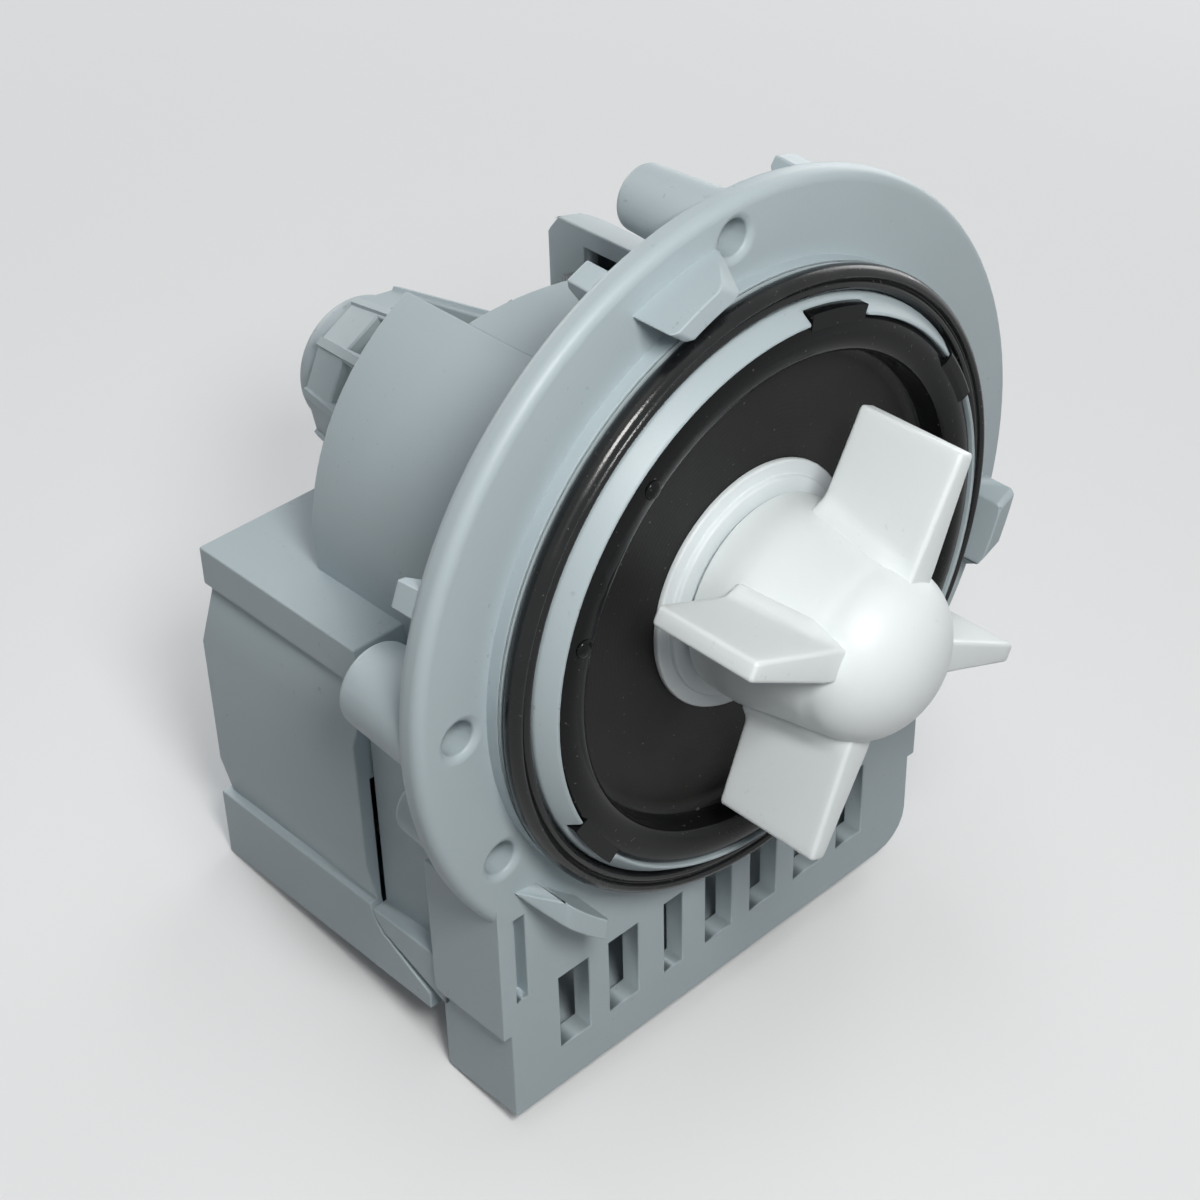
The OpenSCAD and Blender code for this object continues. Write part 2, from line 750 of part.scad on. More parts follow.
module stator_core() {
    color([0.5, 0.5, 0.52])
        difference() {
            slab(stack_mid_y - stack_t / 2, stack_mid_y + stack_t / 2)
                core_outline();
            for (p = rivet_spots)
                translate([p[0], 0, p[1]])
                    bar(rivet_r + seat_gap, stack_mid_y - stack_t, stack_mid_y + stack_t);
        }
}

module core_rivets() {
    color([0.6, 0.6, 0.6])
        for (p = rivet_spots)
            translate([p[0], stack_mid_y, p[1]]) {
                bar(rivet_r, -stack_t / 2 - 1, stack_t / 2 + 1);
                bar(rivet_r + 1, -stack_t / 2 - 1, -stack_t / 2);
                bar(rivet_r + 1, stack_t / 2, stack_t / 2 + 1);
            }
}

// A rectangular frame round a core leg, from inner clearance c to c plus t.
module leg_frame(c, t, z0, z1) {
    translate([(leg_in_x + leg_out_x) / 2, stack_mid_y, z0])
        linear_extrude(height = z1 - z0)
            difference() {
                square([leg_w + 2 * (c + t), stack_t + 2 * (c + t)], center = true);
                square([leg_w + 2 * c, stack_t + 2 * c], center = true);
            }
}

module bobbin() {
    leg_frame(seat_gap, bobbin_wall, coil_low_z, coil_high_z);
    leg_frame(seat_gap, bobbin_wall + winding_t, coil_low_z, coil_low_z + bobbin_wall);
    leg_frame(seat_gap, bobbin_wall + winding_t, coil_high_z - bobbin_wall, coil_high_z);
}

module winding() {
    leg_frame(2 * seat_gap + bobbin_wall, winding_t - 0.4, coil_low_z + bobbin_wall + seat_gap,
        coil_high_z - bobbin_wall - seat_gap);
}

module left_bobbin() {
    color([0.85, 0.85, 0.82])
        mirror([1, 0, 0])
            bobbin();
}

module right_bobbin() {
    color([0.85, 0.85, 0.82])
        bobbin();
}

module left_winding() {
    color([0.6, 0.3, 0.12])
        mirror([1, 0, 0])
            winding();
}

module right_winding() {
    color([0.6, 0.3, 0.12])
        winding();
}

module thermal_fuse() {
    y = stack_mid_y + stack_t / 2 + 3 * seat_gap + bobbin_wall + winding_t - 0.4;
    z = (coil_low_z + coil_high_z) / 2;
    color([0.2, 0.2, 0.22])
        translate([-(leg_in_x + leg_out_x) / 2 - fuse_len / 2, y, z - fuse_h / 2])
            cube([fuse_len, fuse_t, fuse_h]);
}

module terminals() {
    color([0.75, 0.62, 0.3])
        for (s = [-1, 1])
            translate([box_mid_x + s * spade_pitch / 2 - spade_w / 2, socket_floor_y - spade_sink,
                    socket_z - spade_t / 2])
                difference() {
                    side_slab(0, spade_w, [[0, 0], [spade_len - 0.6, 0], [spade_len, spade_t * 0.3],
                        [spade_len, spade_t * 0.7], [spade_len - 0.6, spade_t], [0, spade_t]]);
                    translate([spade_w / 2, spade_len - 3.6, -1])
                        cylinder(r = spade_hole_r, h = spade_t + 2, $fn = 24);
                }
}

// The coil cover seen along the shaft: top plate, lip, groove, flared band and wall.
module box_outline() {
    points = [[box_half_w - lip_inset, box_top_z], [box_half_w - lip_inset, box_top_z - lip_h],
        [box_half_w - lip_inset - 0.9, box_top_z - lip_h - 0.5],
        [box_half_w - lip_inset - 0.9, box_top_z - lip_h - 1.5], [box_half_w, box_top_z - lip_h - 8],
        [box_half_w, skirt_top_z + 6], [box_half_w - 1.3, skirt_top_z - 0.5]];
    translate([box_mid_x, 0])
        polygon(concat(points, [for (i = [len(points) - 1 : -1 : 0]) [-points[i][0], points[i][1]]]));
}

// The box, its skirt and the two round shrouds, hollowed for the coils and the poles.
module cover_shell() {
    difference() {
        union() {
            slab(parting_y, box_back_y)
                box_outline();
            // Skirt with the shaped front end that the tongue lies over.
            side_slab(box_mid_x - box_half_w, box_mid_x + box_half_w,
                [[box_back_y + 0.7, skirt_z], [box_back_y + 0.7, skirt_top_z], [parting_y, skirt_top_z],
                    [parting_y - 0.6, skirt_top_z - 1.8], [parting_y - 2, skirt_top_z - 3.6],
                    [foot_depth + 1.8, skirt_top_z - 8], [foot_depth + 1.8, skirt_z]]);
            // Two round shrouds over the poles with their end wall.
            intersection() {
                difference() {
                    bar(shroud_r, flange_t + 0.8, shroud_back_y);
                    bar(shroud_r - shroud_wall, flange_t, shroud_back_y - 2);
                }
                block([-beyond, 0, shell_top_z + seam_gap], [beyond, beyond, beyond]);
            }
        }
        // Room for the coils in front of the socket and on both sides of it.
        block([box_mid_x - box_half_w + box_wall, foot_depth, skirt_z + box_wall],
            [box_mid_x + box_half_w - box_wall, socket_floor_y - socket_floor_t, hollow_top_z]);
        for (s = [-1, 1])
            translate([box_mid_x + s * (socket_half_w + socket_wall + side_room / 2), 0, 0])
                block([-side_room / 2, socket_floor_y - 4, skirt_z + box_wall],
                    [side_room / 2, box_back_y - box_wall, hollow_top_z]);
        bar(shroud_r - shroud_wall, parting_y - 1, shroud_back_y - 2);
        leg_room();
        bar(sleeve_seat_r, shroud_back_y - 4, shroud_back_y + 1);
    }
}

// The rear box with its shrouds, the gap between them, the trough of the fan cover and the socket.
module coil_cover() {
    color([0.66, 0.71, 0.73])
        difference() {
            union() {
                cover_shell();
                // Cheeks that close the rear of the gap's sides.
                intersection() {
                    bar(shroud_r - 0.01, shroud_back_y - cheek_len, shroud_back_y - 1);
                    for (s = [-1, 1])
                        translate([box_mid_x + s * (shroud_gap + shroud_wall / 2), 0, 0])
                            block([-shroud_wall / 2, 0, fan_cover_r1], [shroud_wall / 2, beyond, shroud_r]);
                }
            }
            // Gap between the shrouds above the rotor, with the bridge in its front part.
            block([box_mid_x - shroud_gap, flange_t, fan_cover_r1 + 1.6],
                [box_mid_x + shroud_gap, shroud_back_y + 1, shroud_r + 5]);
            // Eased rear corner of the right shroud beside the gap.
            side_slab(box_mid_x + shroud_gap - 1, box_mid_x + shroud_gap + 5,
                [[shroud_back_y - 3.4, shroud_r + 2], [shroud_back_y - 1.8, shroud_r - 1.4],
                    [shroud_back_y - 0.4, shroud_r - 3.2], [shroud_back_y + 1, shroud_r - 5.6],
                    [shroud_back_y + 1, shroud_r + 2]]);
            // Trough for the fan cover, then the socket and its two slits.
            bar(fan_cover_r1 + rib_h + trough_gap, shroud_back_y, shroud_back_y + fan_cover_len + 1,
                fan_cover_r2 + rib_h + trough_gap);
            block([box_mid_x - socket_half_w, socket_floor_y, socket_z - socket_h / 2],
                [box_mid_x + socket_half_w, box_back_y + 3, socket_z + socket_h / 2]);
            for (s = [-1, 1])
                translate([box_mid_x + s * spade_pitch / 2, socket_floor_y, socket_z])
                    block([-spade_w / 2 - slit_gap, -5, -spade_t / 2 - slit_gap],
                        [spade_w / 2 + slit_gap, 1, spade_t / 2 + slit_gap]);
        }
}

// A frustum with flat sides between the ribs.
module faceted_cone(out) {
    translate([0, shroud_back_y, 0])
        at_angle(rib_angle)
            rotate([-90, 0, 0])
                cylinder(r1 = fan_cover_r1 + out, r2 = fan_cover_r2 + out, h = fan_cover_len,
                    $fn = vent_count);
}

module fan_cover() {
    end_y = shroud_back_y + fan_cover_len;
    color([0.66, 0.71, 0.73])
        difference() {
            union() {
                faceted_cone(0);
                intersection() {
                    bar(fan_cover_r1 + rib_h, shroud_back_y, end_y, fan_cover_r2 + rib_h);
                    for (k = [0 : vent_count - 1])
                        at_angle(rib_angle + 360 * k / vent_count)
                            block([0, shroud_back_y, -rib_w / 2], [beyond, end_y, rib_w / 2]);
                }
                spin(concat([[0, end_y - 1], [button_r, end_y - 1]],
                    arc(button_r - button_round, end_y + button_h - button_round, button_round, 0, 90),
                    [[0, end_y + button_h]]));
            }
            // The hollow inside and the vents between the ribs.
            intersection() {
                faceted_cone(-fan_cover_wall);
                bar(beyond, sleeve_back_y + 1, end_y - fan_cover_wall);
            }
            bar(sleeve_seat_r, shroud_back_y - 1, sleeve_back_y + 2);
            for (k = [0 : vent_count - 1])
                at_angle(rib_angle + 360 * (k + 0.5) / vent_count)
                    block([sleeve_out_r - 8, vent_y, -vent_half_w],
                        [beyond, vent_y + vent_len, vent_half_w]);
        }
}

module shaft() {
    color([0.75, 0.76, 0.78])
        bar(shaft_r, shaft_front_y, shaft_back_y);
}

module rotor_magnet() {
    color([0.2, 0.2, 0.21])
        ring(magnet_r, shaft_r + carrier_wall + seat_gap, carrier_front_y + carrier_end,
            carrier_back_y - carrier_end);
}

module magnet_carrier() {
    color([0.88, 0.88, 0.85])
        difference() {
            union() {
                bar(shaft_r + carrier_wall, carrier_front_y, carrier_back_y);
                for (y = [carrier_front_y, carrier_back_y - carrier_end])
                    bar(magnet_r - 1.6, y, y + carrier_end);
            }
            bar(shaft_r + press_gap, carrier_front_y - 1, carrier_back_y + 1);
        }
}

module cooling_fan() {
    color([0.9, 0.9, 0.88])
        difference() {
            union() {
                bar(shaft_r + fan_hub_wall, fan_y, fan_y + fan_len);
                bar(fan_r * 0.62, fan_y, fan_y + 1.2);
                for (k = [0 : fan_blades - 1])
                    at_angle(360 * k / fan_blades)
                        block([shaft_r + 1, fan_y, -0.5], [fan_r, fan_y + fan_len, 0.5]);
            }
            bar(shaft_r + press_gap, fan_y - 1, fan_y + fan_len + 1);
        }
}

module drive_dog() {
    color([0.85, 0.86, 0.84])
        difference() {
            union() {
                bar(dog_hub_r, dog_front_y, dog_back_y);
                at_angle(blade_angle)
                    sector(bell_hollow_r - run_gap, dog_hub_r - 1, dog_front_y, dog_back_y,
                        -dog_half_angle, dog_half_angle);
            }
            bar(shaft_r + press_gap, dog_front_y - 1, dog_back_y + 1);
        }
}

module thrust_washers() {
    color([0.8, 0.75, 0.55])
        for (y = [carrier_front_y - washer_t, carrier_back_y])
            ring(washer_r, shaft_r + press_gap, y, y + washer_t);
}

// The bell of the impeller as one revolve, with its hollow and blind bore.
module bell() {
    nose_r = 10.4;
    nose_len = 8;
    bell_swell = 0.2;
    bell_taper = 0.8;
    spin(concat(
        [[bell_hollow_r, bell_back_y], [bell_r - 0.5, bell_back_y], [bell_r, bell_back_y - 0.5],
            [bell_r + bell_swell, blade_back_y], [bell_r - bell_taper, blade_back_y - 5],
            [nose_r + 0.3, nose_y + nose_len + 1.2]],
        [for (i = [0 : 7]) [nose_r * cos(90 * i / 8), nose_y + nose_len - nose_len * sin(90 * i / 8)]],
        [[0, nose_y], [0, shaft_front_y - 0.4], [shaft_r + turn_gap, shaft_front_y - 0.4],
            [shaft_r + turn_gap, hollow_front_y], [bell_hollow_r, hollow_front_y]]));
}

// One flat blade that is thicker at its root.
module blade() {
    slab(blade_front_y, blade_back_y)
        polygon([[blade_root_r, -blade_root_t / 2], [bell_r, -blade_root_t / 2 + 0.3],
            [blade_tip_r, -blade_tip_t / 2], [blade_tip_r, blade_tip_t / 2],
            [bell_r, blade_root_t / 2 - 0.3], [blade_root_r, blade_root_t / 2]]);
}

module impeller() {
    color([0.93, 0.94, 0.93])
        union() {
            bell();
            difference() {
                for (k = [0 : blade_count - 1])
                    at_angle(blade_angle + 360 * k / blade_count)
                        blade();
                bar(bell_hollow_r + 0.6, hollow_front_y - 0.1, bell_back_y + 5);
                bar(shaft_r + 3, nose_y, hollow_front_y + 1);
            }
            at_angle(blade_angle + 180)
                sector(bell_hollow_r + 0.5, dog_hub_r + run_gap, hollow_front_y - 0.5, dog_back_y,
                    -dog_half_angle, dog_half_angle);
        }
}

module stop_buffer() {
    color([0.15, 0.15, 0.15])
        for (s = [-1, 1])
            at_angle(blade_angle + 180 + s * (dog_half_angle + buffer_angle / 2 + 0.2))
                sector(bell_hollow_r - seat_gap, dog_hub_r + run_gap, hollow_front_y + seat_gap, dog_back_y,
                    -buffer_angle / 2, buffer_angle / 2);
}

module retaining_disc() {
    color([0.9, 0.9, 0.88])
        ring(bell_hollow_r - seat_gap, dog_hub_r - 1, bell_back_y - disc_t - 0.4, bell_back_y - 0.4);
}

front_housing();
flange_seal();
front_cover();
cover_gasket();
bearing_collar();
shaft_seal();
front_bearing();
front_mount();
rear_bearing();
rear_mount();
rotor_sleeve();
stator_core();
core_rivets();
left_bobbin();
right_bobbin();
left_winding();
right_winding();
thermal_fuse();
terminals();
coil_cover();
fan_cover();
shaft();
rotor_magnet();
magnet_carrier();
cooling_fan();
drive_dog();
thrust_washers();
impeller();
stop_buffer();
retaining_disc();
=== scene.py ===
import math

import bmesh
import bpy
from bpy.props import FloatProperty, FloatVectorProperty, IntProperty, PointerProperty
from mathutils import Matrix, Vector


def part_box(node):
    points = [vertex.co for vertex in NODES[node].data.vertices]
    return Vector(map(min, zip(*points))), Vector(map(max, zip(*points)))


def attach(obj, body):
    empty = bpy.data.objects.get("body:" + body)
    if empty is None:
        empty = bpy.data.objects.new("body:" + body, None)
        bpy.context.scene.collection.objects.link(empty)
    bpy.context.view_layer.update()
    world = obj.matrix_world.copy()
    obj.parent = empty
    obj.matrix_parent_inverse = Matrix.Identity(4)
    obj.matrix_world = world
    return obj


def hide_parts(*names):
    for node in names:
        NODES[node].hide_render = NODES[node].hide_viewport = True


bl_info = {
    "name": "Drain pump looks",
    "version": (1, 0, 0),
    "blender": (4, 5, 0),
    "location": "View3D > Sidebar > Drain Pump",
    "description": "Dresses the packed drain pump and sets it on a plain studio floor",
    "category": "Object",
}

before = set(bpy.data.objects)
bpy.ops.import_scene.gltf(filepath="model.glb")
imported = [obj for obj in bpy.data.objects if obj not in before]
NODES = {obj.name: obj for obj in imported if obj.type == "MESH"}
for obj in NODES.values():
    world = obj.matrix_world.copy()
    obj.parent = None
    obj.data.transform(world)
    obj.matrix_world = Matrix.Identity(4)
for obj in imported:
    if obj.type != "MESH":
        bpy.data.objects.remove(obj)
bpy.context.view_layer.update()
MM = 0.001
TAU = 2 * math.pi

# Sizes are in millimetres unless a line says metres: y is a place along the shaft, r a distance from it.
# Angles round the shaft are in degrees, from +X towards +Z.

# Front cover, as in the part's source
FLOOR_FRONT_Y = -1.6
FLOOR_BACK_Y = 1.4
COVER_BORE_R = 9.05
GROOVE_Y = 0.3
GROOVE_IN_R = 23.15
GROOVE_OUT_R = 24.85
RIM_FRONT_Y = -6.42
RIM_BACK_Y = -4.62
RIM_R = 33.7
PLUG_R = 31.45
PLUG_WALL = 2
TAB_ANGLES = (75.5, 212, 324)
TAB_HALF_ANGLE = 7.5
TAB_OUT = 1.3

# Front cover, as the looks refine it: tab edges, a crowned rim with pips, and a lip over the spigot
TAB_ROOT = 1
TAB_SETBACK = 0.3
TAB_EDGE = 0.3
RIM_CROWN = 1.1
PIP_ANGLES = (129, 162)
PIP_R = 1.1
PIP_RISE = 0.5
LAP_ANGLES = (23, 36)
LAP_PROFILE = ((32.2, -6.0, 0), (32.2, -6.3, 0), (33.0, -6.6, 0.2), (34.25, -6.6, 0.3), (35.78, -4.3, 0.1),
               (35.62, -4.2, 0), (34.12, -6.33, 0), (33.74, -6.33, 0), (33.74, -6.0, 0))

# Flange seal: where the groove between its lips lies round its section, and how wide it is, in degrees
SEAL_GROOVE_ANGLE = 262
SEAL_GROOVE_SPREAD = 17

# Bearing collar
COLLAR = {"flange_r": 15.4, "step_r": 13.7, "step_h": 0.7, "pocket_r": 6.3, "pocket_back": 2.6,
          "neck_r": 9, "neck_back": 5.2, "hole_r": 3}

# Impeller
BELL_BACK_Y = -3.6
HOLLOW_FRONT_Y = -13.8
HOLLOW_R = 9.6
BORE_FRONT_Y = -23.4
BORE_R = 2.05
NOSE_Y = -27.5
NOSE_LONG = 8
NOSE_R = 10.4
SHOULDER_Y = NOSE_Y + NOSE_LONG
BLADE_ANGLE = 63.6
BLADE_BACK_Y = -8.3
BLADE_FRONT_Y = -22.6
BLADE_TIP_R = 24.4
BLADE_START_R = 8.6
BLADE_START_RISE = 1.9
BLADE_ROOT_HALF = 2.05
BLADE_TIP_HALF = 1.2
BLADE_TAPER_R = 11
STOP_ANGLE = BLADE_ANGLE + 180
STOP_HALF_ANGLE = 28
STOP_IN_R = 5.4
STOP_OUT_R = 10.1
STOP_BACK_Y = -5.6
STOP_SUNK = 0.5
# The bell's outside from its back edge to the nose, and how far each corner after the first is eased
BELL = ((12.2, -4.1), (12.4, BLADE_BACK_Y), (11.4, -13.3), (10.7, -18.3), (NOSE_R, SHOULDER_Y))
BELL_EASES = (1.5, 2, 1.5, 0)
# A blade's fillet: how far it starts inside the bell, and how it fades outwards and towards the front
FILLET_SUNK = 0.15
FILLET_REACH = 1.5
FILLET_CURVE = 2.2
FILLET_FADE = 3
# Where a blade's rings of points stand, as shares of its length, and how the last ones round its tip:
# how far they lie inside its edges and short of its end
BLADE_STATIONS = (0, 0.06, 0.12, 0.16, 0.2, 0.24, 0.28, 0.33, 0.4, 0.5, 0.65, 0.8, 0.93)
BLADE_TIP_RINGS = ((0, 0.5), (0.08, 0.2), (0.22, 0.06), (0.5, 0))

# Fan cover
FAN_COVER = {"front": 40.0, "back": 65.0, "r_front": 15.2, "r_back": 11.0, "wall": 1.6, "sides": 10,
             "vent_front": 43.35, "vent_back": 59.35, "vent_half": 2.7, "vent_edge": 0.25,
             "first_rib": 28.0, "rib_half": 0.7, "rib_h": 0.3, "rib_root": 0.9, "rib_taper": 0.15,
             "rib_edge": 0.28, "button_r": 9.0, "button_h": 5.0, "button_edge": 2.6, "plate_r": 10.25,
             "seat_r": 12.55, "seat_back": 42.75, "seat_out_front": 14.4, "seat_out_back": 14.0}
# The panels overlap at their sides, and the ends of the ribs and the plate stand a hair behind theirs
PANEL_OVERLAP = 0.02
RIB_PROUD = 0.05
PLATE_PROUD = 0.1

# Cooling fan: its length and its tip come from the frame
FAN = {"bore_r": 2.01, "disc_r": 6.3, "disc_h": 1.2, "hub_r": 4.2, "blade_r": 3.0, "blade_half": 0.5,
       "blade_taper": 0.12, "blade_edge": 0.12, "front_gap": 0.1, "back_gap": 0.3}

# Windings: the bend of a turn at its corners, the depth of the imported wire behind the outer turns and
# its gap at both ends, and two shares of the wire's thickness, for the turns' pitch and the gap behind them
COIL_BEND = 2.0
COIL_DEPTH = 1.9
COIL_END_GAP = 0.1
TURN_PITCH = 1.01
TURN_GAP = 0.1

# Stage, in metres: the middle of the pump's base, half the floor's width and its gap under the pump
FOOTPRINT_MIDDLE = (0.0, 0.027, -0.056)
FLOOR_HALF = 2.0
FLOOR_GAP = 0.0001
# Where the floor touches the rear edge of the foot and the rear edge of the skirt, in millimetres
FOOT_EDGE_Y = 12.4
SKIRT_EDGE_Y = 54.3
# Name, place in metres, power in watts, width in metres and tint of each lamp
LAMPS = (
    ("key", (-0.10, -0.18, 0.21), 0.71, 0.1, (1.0, 0.99, 0.97)),
    ("left_soft", (-0.5, -0.4, 0.35), 0.15, 0.3, (0.95, 0.98, 1.0)),
    ("top_soft", (-0.25, -0.05, 0.66), 0.25, 0.4, (1, 1, 1)),
    ("right_soft", (0.6, 0.2, 0.15), 2.2, 0.5, (1, 1, 1)),
    ("back_soft", (0.05, 0.7, 0.2), 2.2, 0.5, (1, 1, 1)),
)
LAMP_AIM = (0, 0.01, -0.02)
WORLD_TINT = (0.93, 0.96, 1.0)
WORLD_STRENGTH = 0.14
# Camera: its place and lens in millimetres, and its angles in degrees
CAMERA_PLACE = (-164.952, -153.646, 164.424)
CAMERA_TURN = -42.993
CAMERA_HEIGHT = 36.624
CAMERA_ROLL = -1.568
CAMERA_LENS = 73.644
CAMERA_SENSOR = 36
# Nearest place that the camera sees, in metres
CAMERA_NEAR = 0.01

# Meshes: points nearer than these are one, on made shapes and on the part's own nodes
MERGE_GAP = 0.002
NODE_MERGE_GAP = 0.004
SLIVER = 0.0005
# Angles in radians past which edges are rounded, on made shapes and on the shells, and up to which
# two faces are one plane
HARD_EDGE = 0.9
SHELL_EDGE = math.radians(32)
FLAT_FACE = math.radians(0.6)
# A rounded corner takes at most this share of a side, and is left out below the least size
EASE_SHARE = 0.48
EASE_LEAST = 0.02


def linear(r, g, b):
    """A colour written as eight-bit screen values, as Blender's linear numbers."""
    return tuple(c / 255 / 12.92 if c < 11 else ((c / 255 + 0.055) / 1.055) ** 2.4 for c in (r, g, b))


def colour(title, text, value):
    """A colour that a user can change."""
    return FloatVectorProperty(name=title, description=text, default=value, size=3, subtype="COLOR",
                               min=0, max=1)


def length(title, text, value):
    """A size that a user can change, given in millimetres."""
    return FloatProperty(name=title, description=text, default=value * MM, unit="LENGTH", precision=5)


def number(title, text, value):
    """A number of like pieces that a user can change."""
    return IntProperty(name=title, description=text, default=value, min=2)


class PumpColours(bpy.types.PropertyGroup):
    """The colours of the pump's finishes."""
    body: colour("Body", "Moulded grey plastic of the shells", linear(174, 187, 192))
    # Lighter grey for the shells' rounded edges: partly rubbed wear, partly a painted highlight along the
    # edges
    body_edge: colour("Body edges", "Grey plastic where edges are rubbed", linear(193, 203, 206))
    seal: colour("Seal", "Black rubber of the flange seal", linear(17, 18, 19))
    cover: colour("Cover", "Black plastic of the cover's rim", linear(18, 19, 20))
    dish: colour("Dish", "Duller bottom of the cover", linear(30, 30, 29))
    impeller: colour("Impeller", "Natural plastic of the impeller", linear(232, 238, 239))
    collar: colour("Collar", "Natural plastic of the collar", linear(224, 231, 233))
    natural: colour("Natural plastic", "Bobbins, carrier and fan", linear(226, 222, 208))
    copper: colour("Copper", "Lacquered wire of the windings", linear(176, 92, 44))
    floor: colour("Floor", "The studio's floor", linear(236, 237, 238))


class PumpSizes(bpy.types.PropertyGroup):
    """The sizes that belong to the looks and not to the part's source."""
    shell_edge: length("Shell edges", "Rounding on the edges of the grey shells", 0.24)
    seal_groove: length("Seal groove", "Depth of the groove between the lips of the seal", 0.75)
    blade_edge: length("Blade edges", "Rounding on the edges of the impeller's blades", 0.55)
    blade_root: length("Blade root", "Fillet where a blade meets the bell", 1.4)
    wire: length("Wire", "Thickness of the wire of the windings", 0.62)
    blades: number("Blades", "Number of blades on the impeller", 4)
    fan_blades: number("Fan blades", "Number of blades on the cooling fan", 8)


class Value:
    """A shader socket that takes part in plain sums."""

    def __init__(self, graph, socket):
        self.graph = graph
        self.socket = socket

    def sum(self, operation, first, second):
        """The result of a new Math node."""
        return self.graph.make("ShaderNodeMath", {"operation": operation}, {0: first, 1: second})

    def __add__(self, other):
        return self.sum("ADD", self, other)

    def __radd__(self, other):
        return self.sum("ADD", other, self)

    def __sub__(self, other):
        return self.sum("SUBTRACT", self, other)

    def __rsub__(self, other):
        return self.sum("SUBTRACT", other, self)

    def __mul__(self, other):
        return self.sum("MULTIPLY", self, other)

    def __rmul__(self, other):
        return self.sum("MULTIPLY", other, self)

    def fraction(self):
        """The part after the decimal point."""
        return self.sum("FRACT", self, 0.0)

    def size(self):
        """The value without its sign."""
        return self.sum("ABSOLUTE", self, 0.0)

    def between(self, low, high):
        """0 below low, 1 above high and a soft step between them."""
        return self.graph.make("ShaderNodeMapRange", {"interpolation_type": "SMOOTHSTEP"},
                               {"Value": self, "From Min": low, "From Max": high})


class Finish:
    """One material or world, and the nodes that make it."""

    def __init__(self, name, group="materials"):
        self.owner = getattr(bpy.data, group).new(name)
        self.owner.use_nodes = True
        self.tree = self.owner.node_tree
        self.tree.nodes.clear()
        self.place = self.make("ShaderNodeTexCoord", {}, {}, "Object")

    def make(self, kind, settings, sockets, out=0):
        """Adds a node with its settings and the values or links of its sockets."""
        node = self.tree.nodes.new(kind)
        for key, value in settings.items():
            setattr(node, key, value)
        for key, value in sockets.items():
            if isinstance(value, Value):
                self.tree.links.new(value.socket, node.inputs[key])
            else:
                node.inputs[key].default_value = value
        return Value(self, node.outputs[out])

    def noise(self, size, detail=2.0, stretch=(1, 1, 1), rough=0.5):
        """Cloudy noise whose patches are about size millimetres across, divided by stretch on each axis."""
        where = self.make("ShaderNodeMapping", {}, {"Vector": self.place, "Scale": stretch})
        return self.make("ShaderNodeTexNoise", {}, {
            "Vector": where, "Scale": 1 / (size * MM), "Detail": detail, "Roughness": rough})

    def axis(self, letter):
        """Place along one axis, in millimetres."""
        return self.make("ShaderNodeSeparateXYZ", {}, {"Vector": self.place}, letter) * (1 / MM)

    def from_shaft(self):
        """Distance from the shaft, in millimetres."""
        flat = self.make("ShaderNodeVectorMath", {"operation": "MULTIPLY"}, {0: self.place, 1: (1, 0, 1)})
        return self.make("ShaderNodeVectorMath", {"operation": "LENGTH"}, {0: flat}, "Value") * (1 / MM)

    def mix(self, amount, first, second):
        """The second colour over the first, by amount."""
        pair = [c if isinstance(c, Value) else (*c, 1.0) for c in (first, second)]
        return self.make("ShaderNodeMix", {"data_type": "RGBA"}, {0: amount, 6: pair[0], 7: pair[1]}, 2)

    def bump(self, height, depth):
        """A bump whose full height is depth millimetres."""
        return self.make("ShaderNodeBump", {}, {"Height": height, "Distance": depth * MM, "Strength": 1.0})

    def close(self, **sockets):
        """Ends the material in a Principled shader, whose sockets are named in small letters."""
        named = {key.replace("_", " ").title().replace("Ior", "IOR"): value
                 for key, value in sockets.items()}
        self.make_output(self.make("ShaderNodeBsdfPrincipled", {}, named))
        return self.owner

    def shown(self):
        """1 for the rays that show a surface to the camera, straight or in a mirror or glass."""
        rays = self.make("ShaderNodeLightPath", {}, {}, "Is Camera Ray")
        for kind in ("Is Glossy Ray", "Is Transmission Ray"):
            rays = rays + self.make("ShaderNodeLightPath", {}, {}, kind)
        return rays

    def make_output(self, shader, kind="ShaderNodeOutputMaterial"):
        """Links a shader to the end of the nodes."""
        end = self.tree.nodes.new(kind)
        self.tree.links.new(shader.socket, end.inputs["Surface"])


def shade(base, factor):
    """A colour made darker or lighter by a factor."""
    return tuple(min(1.0, c * factor) for c in base)


def moulded(name, base, rough, mottle, grain_depth, dust=0.0, glow=0.0):
    """Moulded plastic: fine die texture, slow flow clouds, faint rubs and a little dust."""
    f = Finish(name)
    cloud = f.noise(26, 3)
    flow = f.noise(9, 2, (0.35, 1, 0.35))
    grain = f.noise(0.32, 2)
    rub = f.noise(2.6, 4, (1, 3, 1), 0.62).between(0.6, 0.76)
    tone = f.mix(cloud * 0.6 + flow * 0.4, shade(base, 1 - mottle), shade(base, 1 + mottle))
    tone = f.mix(rub * 0.22, tone, shade(base, 1.08))
    if dust:
        speck = f.noise(0.85, 1).between(0.70, 0.76) * f.noise(14, 2).between(0.45, 0.7)
        tone = f.mix(speck * dust, tone, (0.12, 0.12, 0.11))
    return f.close(base_color=tone, roughness=rough + grain * 0.1 + rub * 0.08 - cloud * 0.04,
                   normal=f.bump(grain * 0.7 + flow * 0.3, grain_depth), subsurface_weight=glow,
                   subsurface_radius=(0.0012, 0.0012, 0.0011))


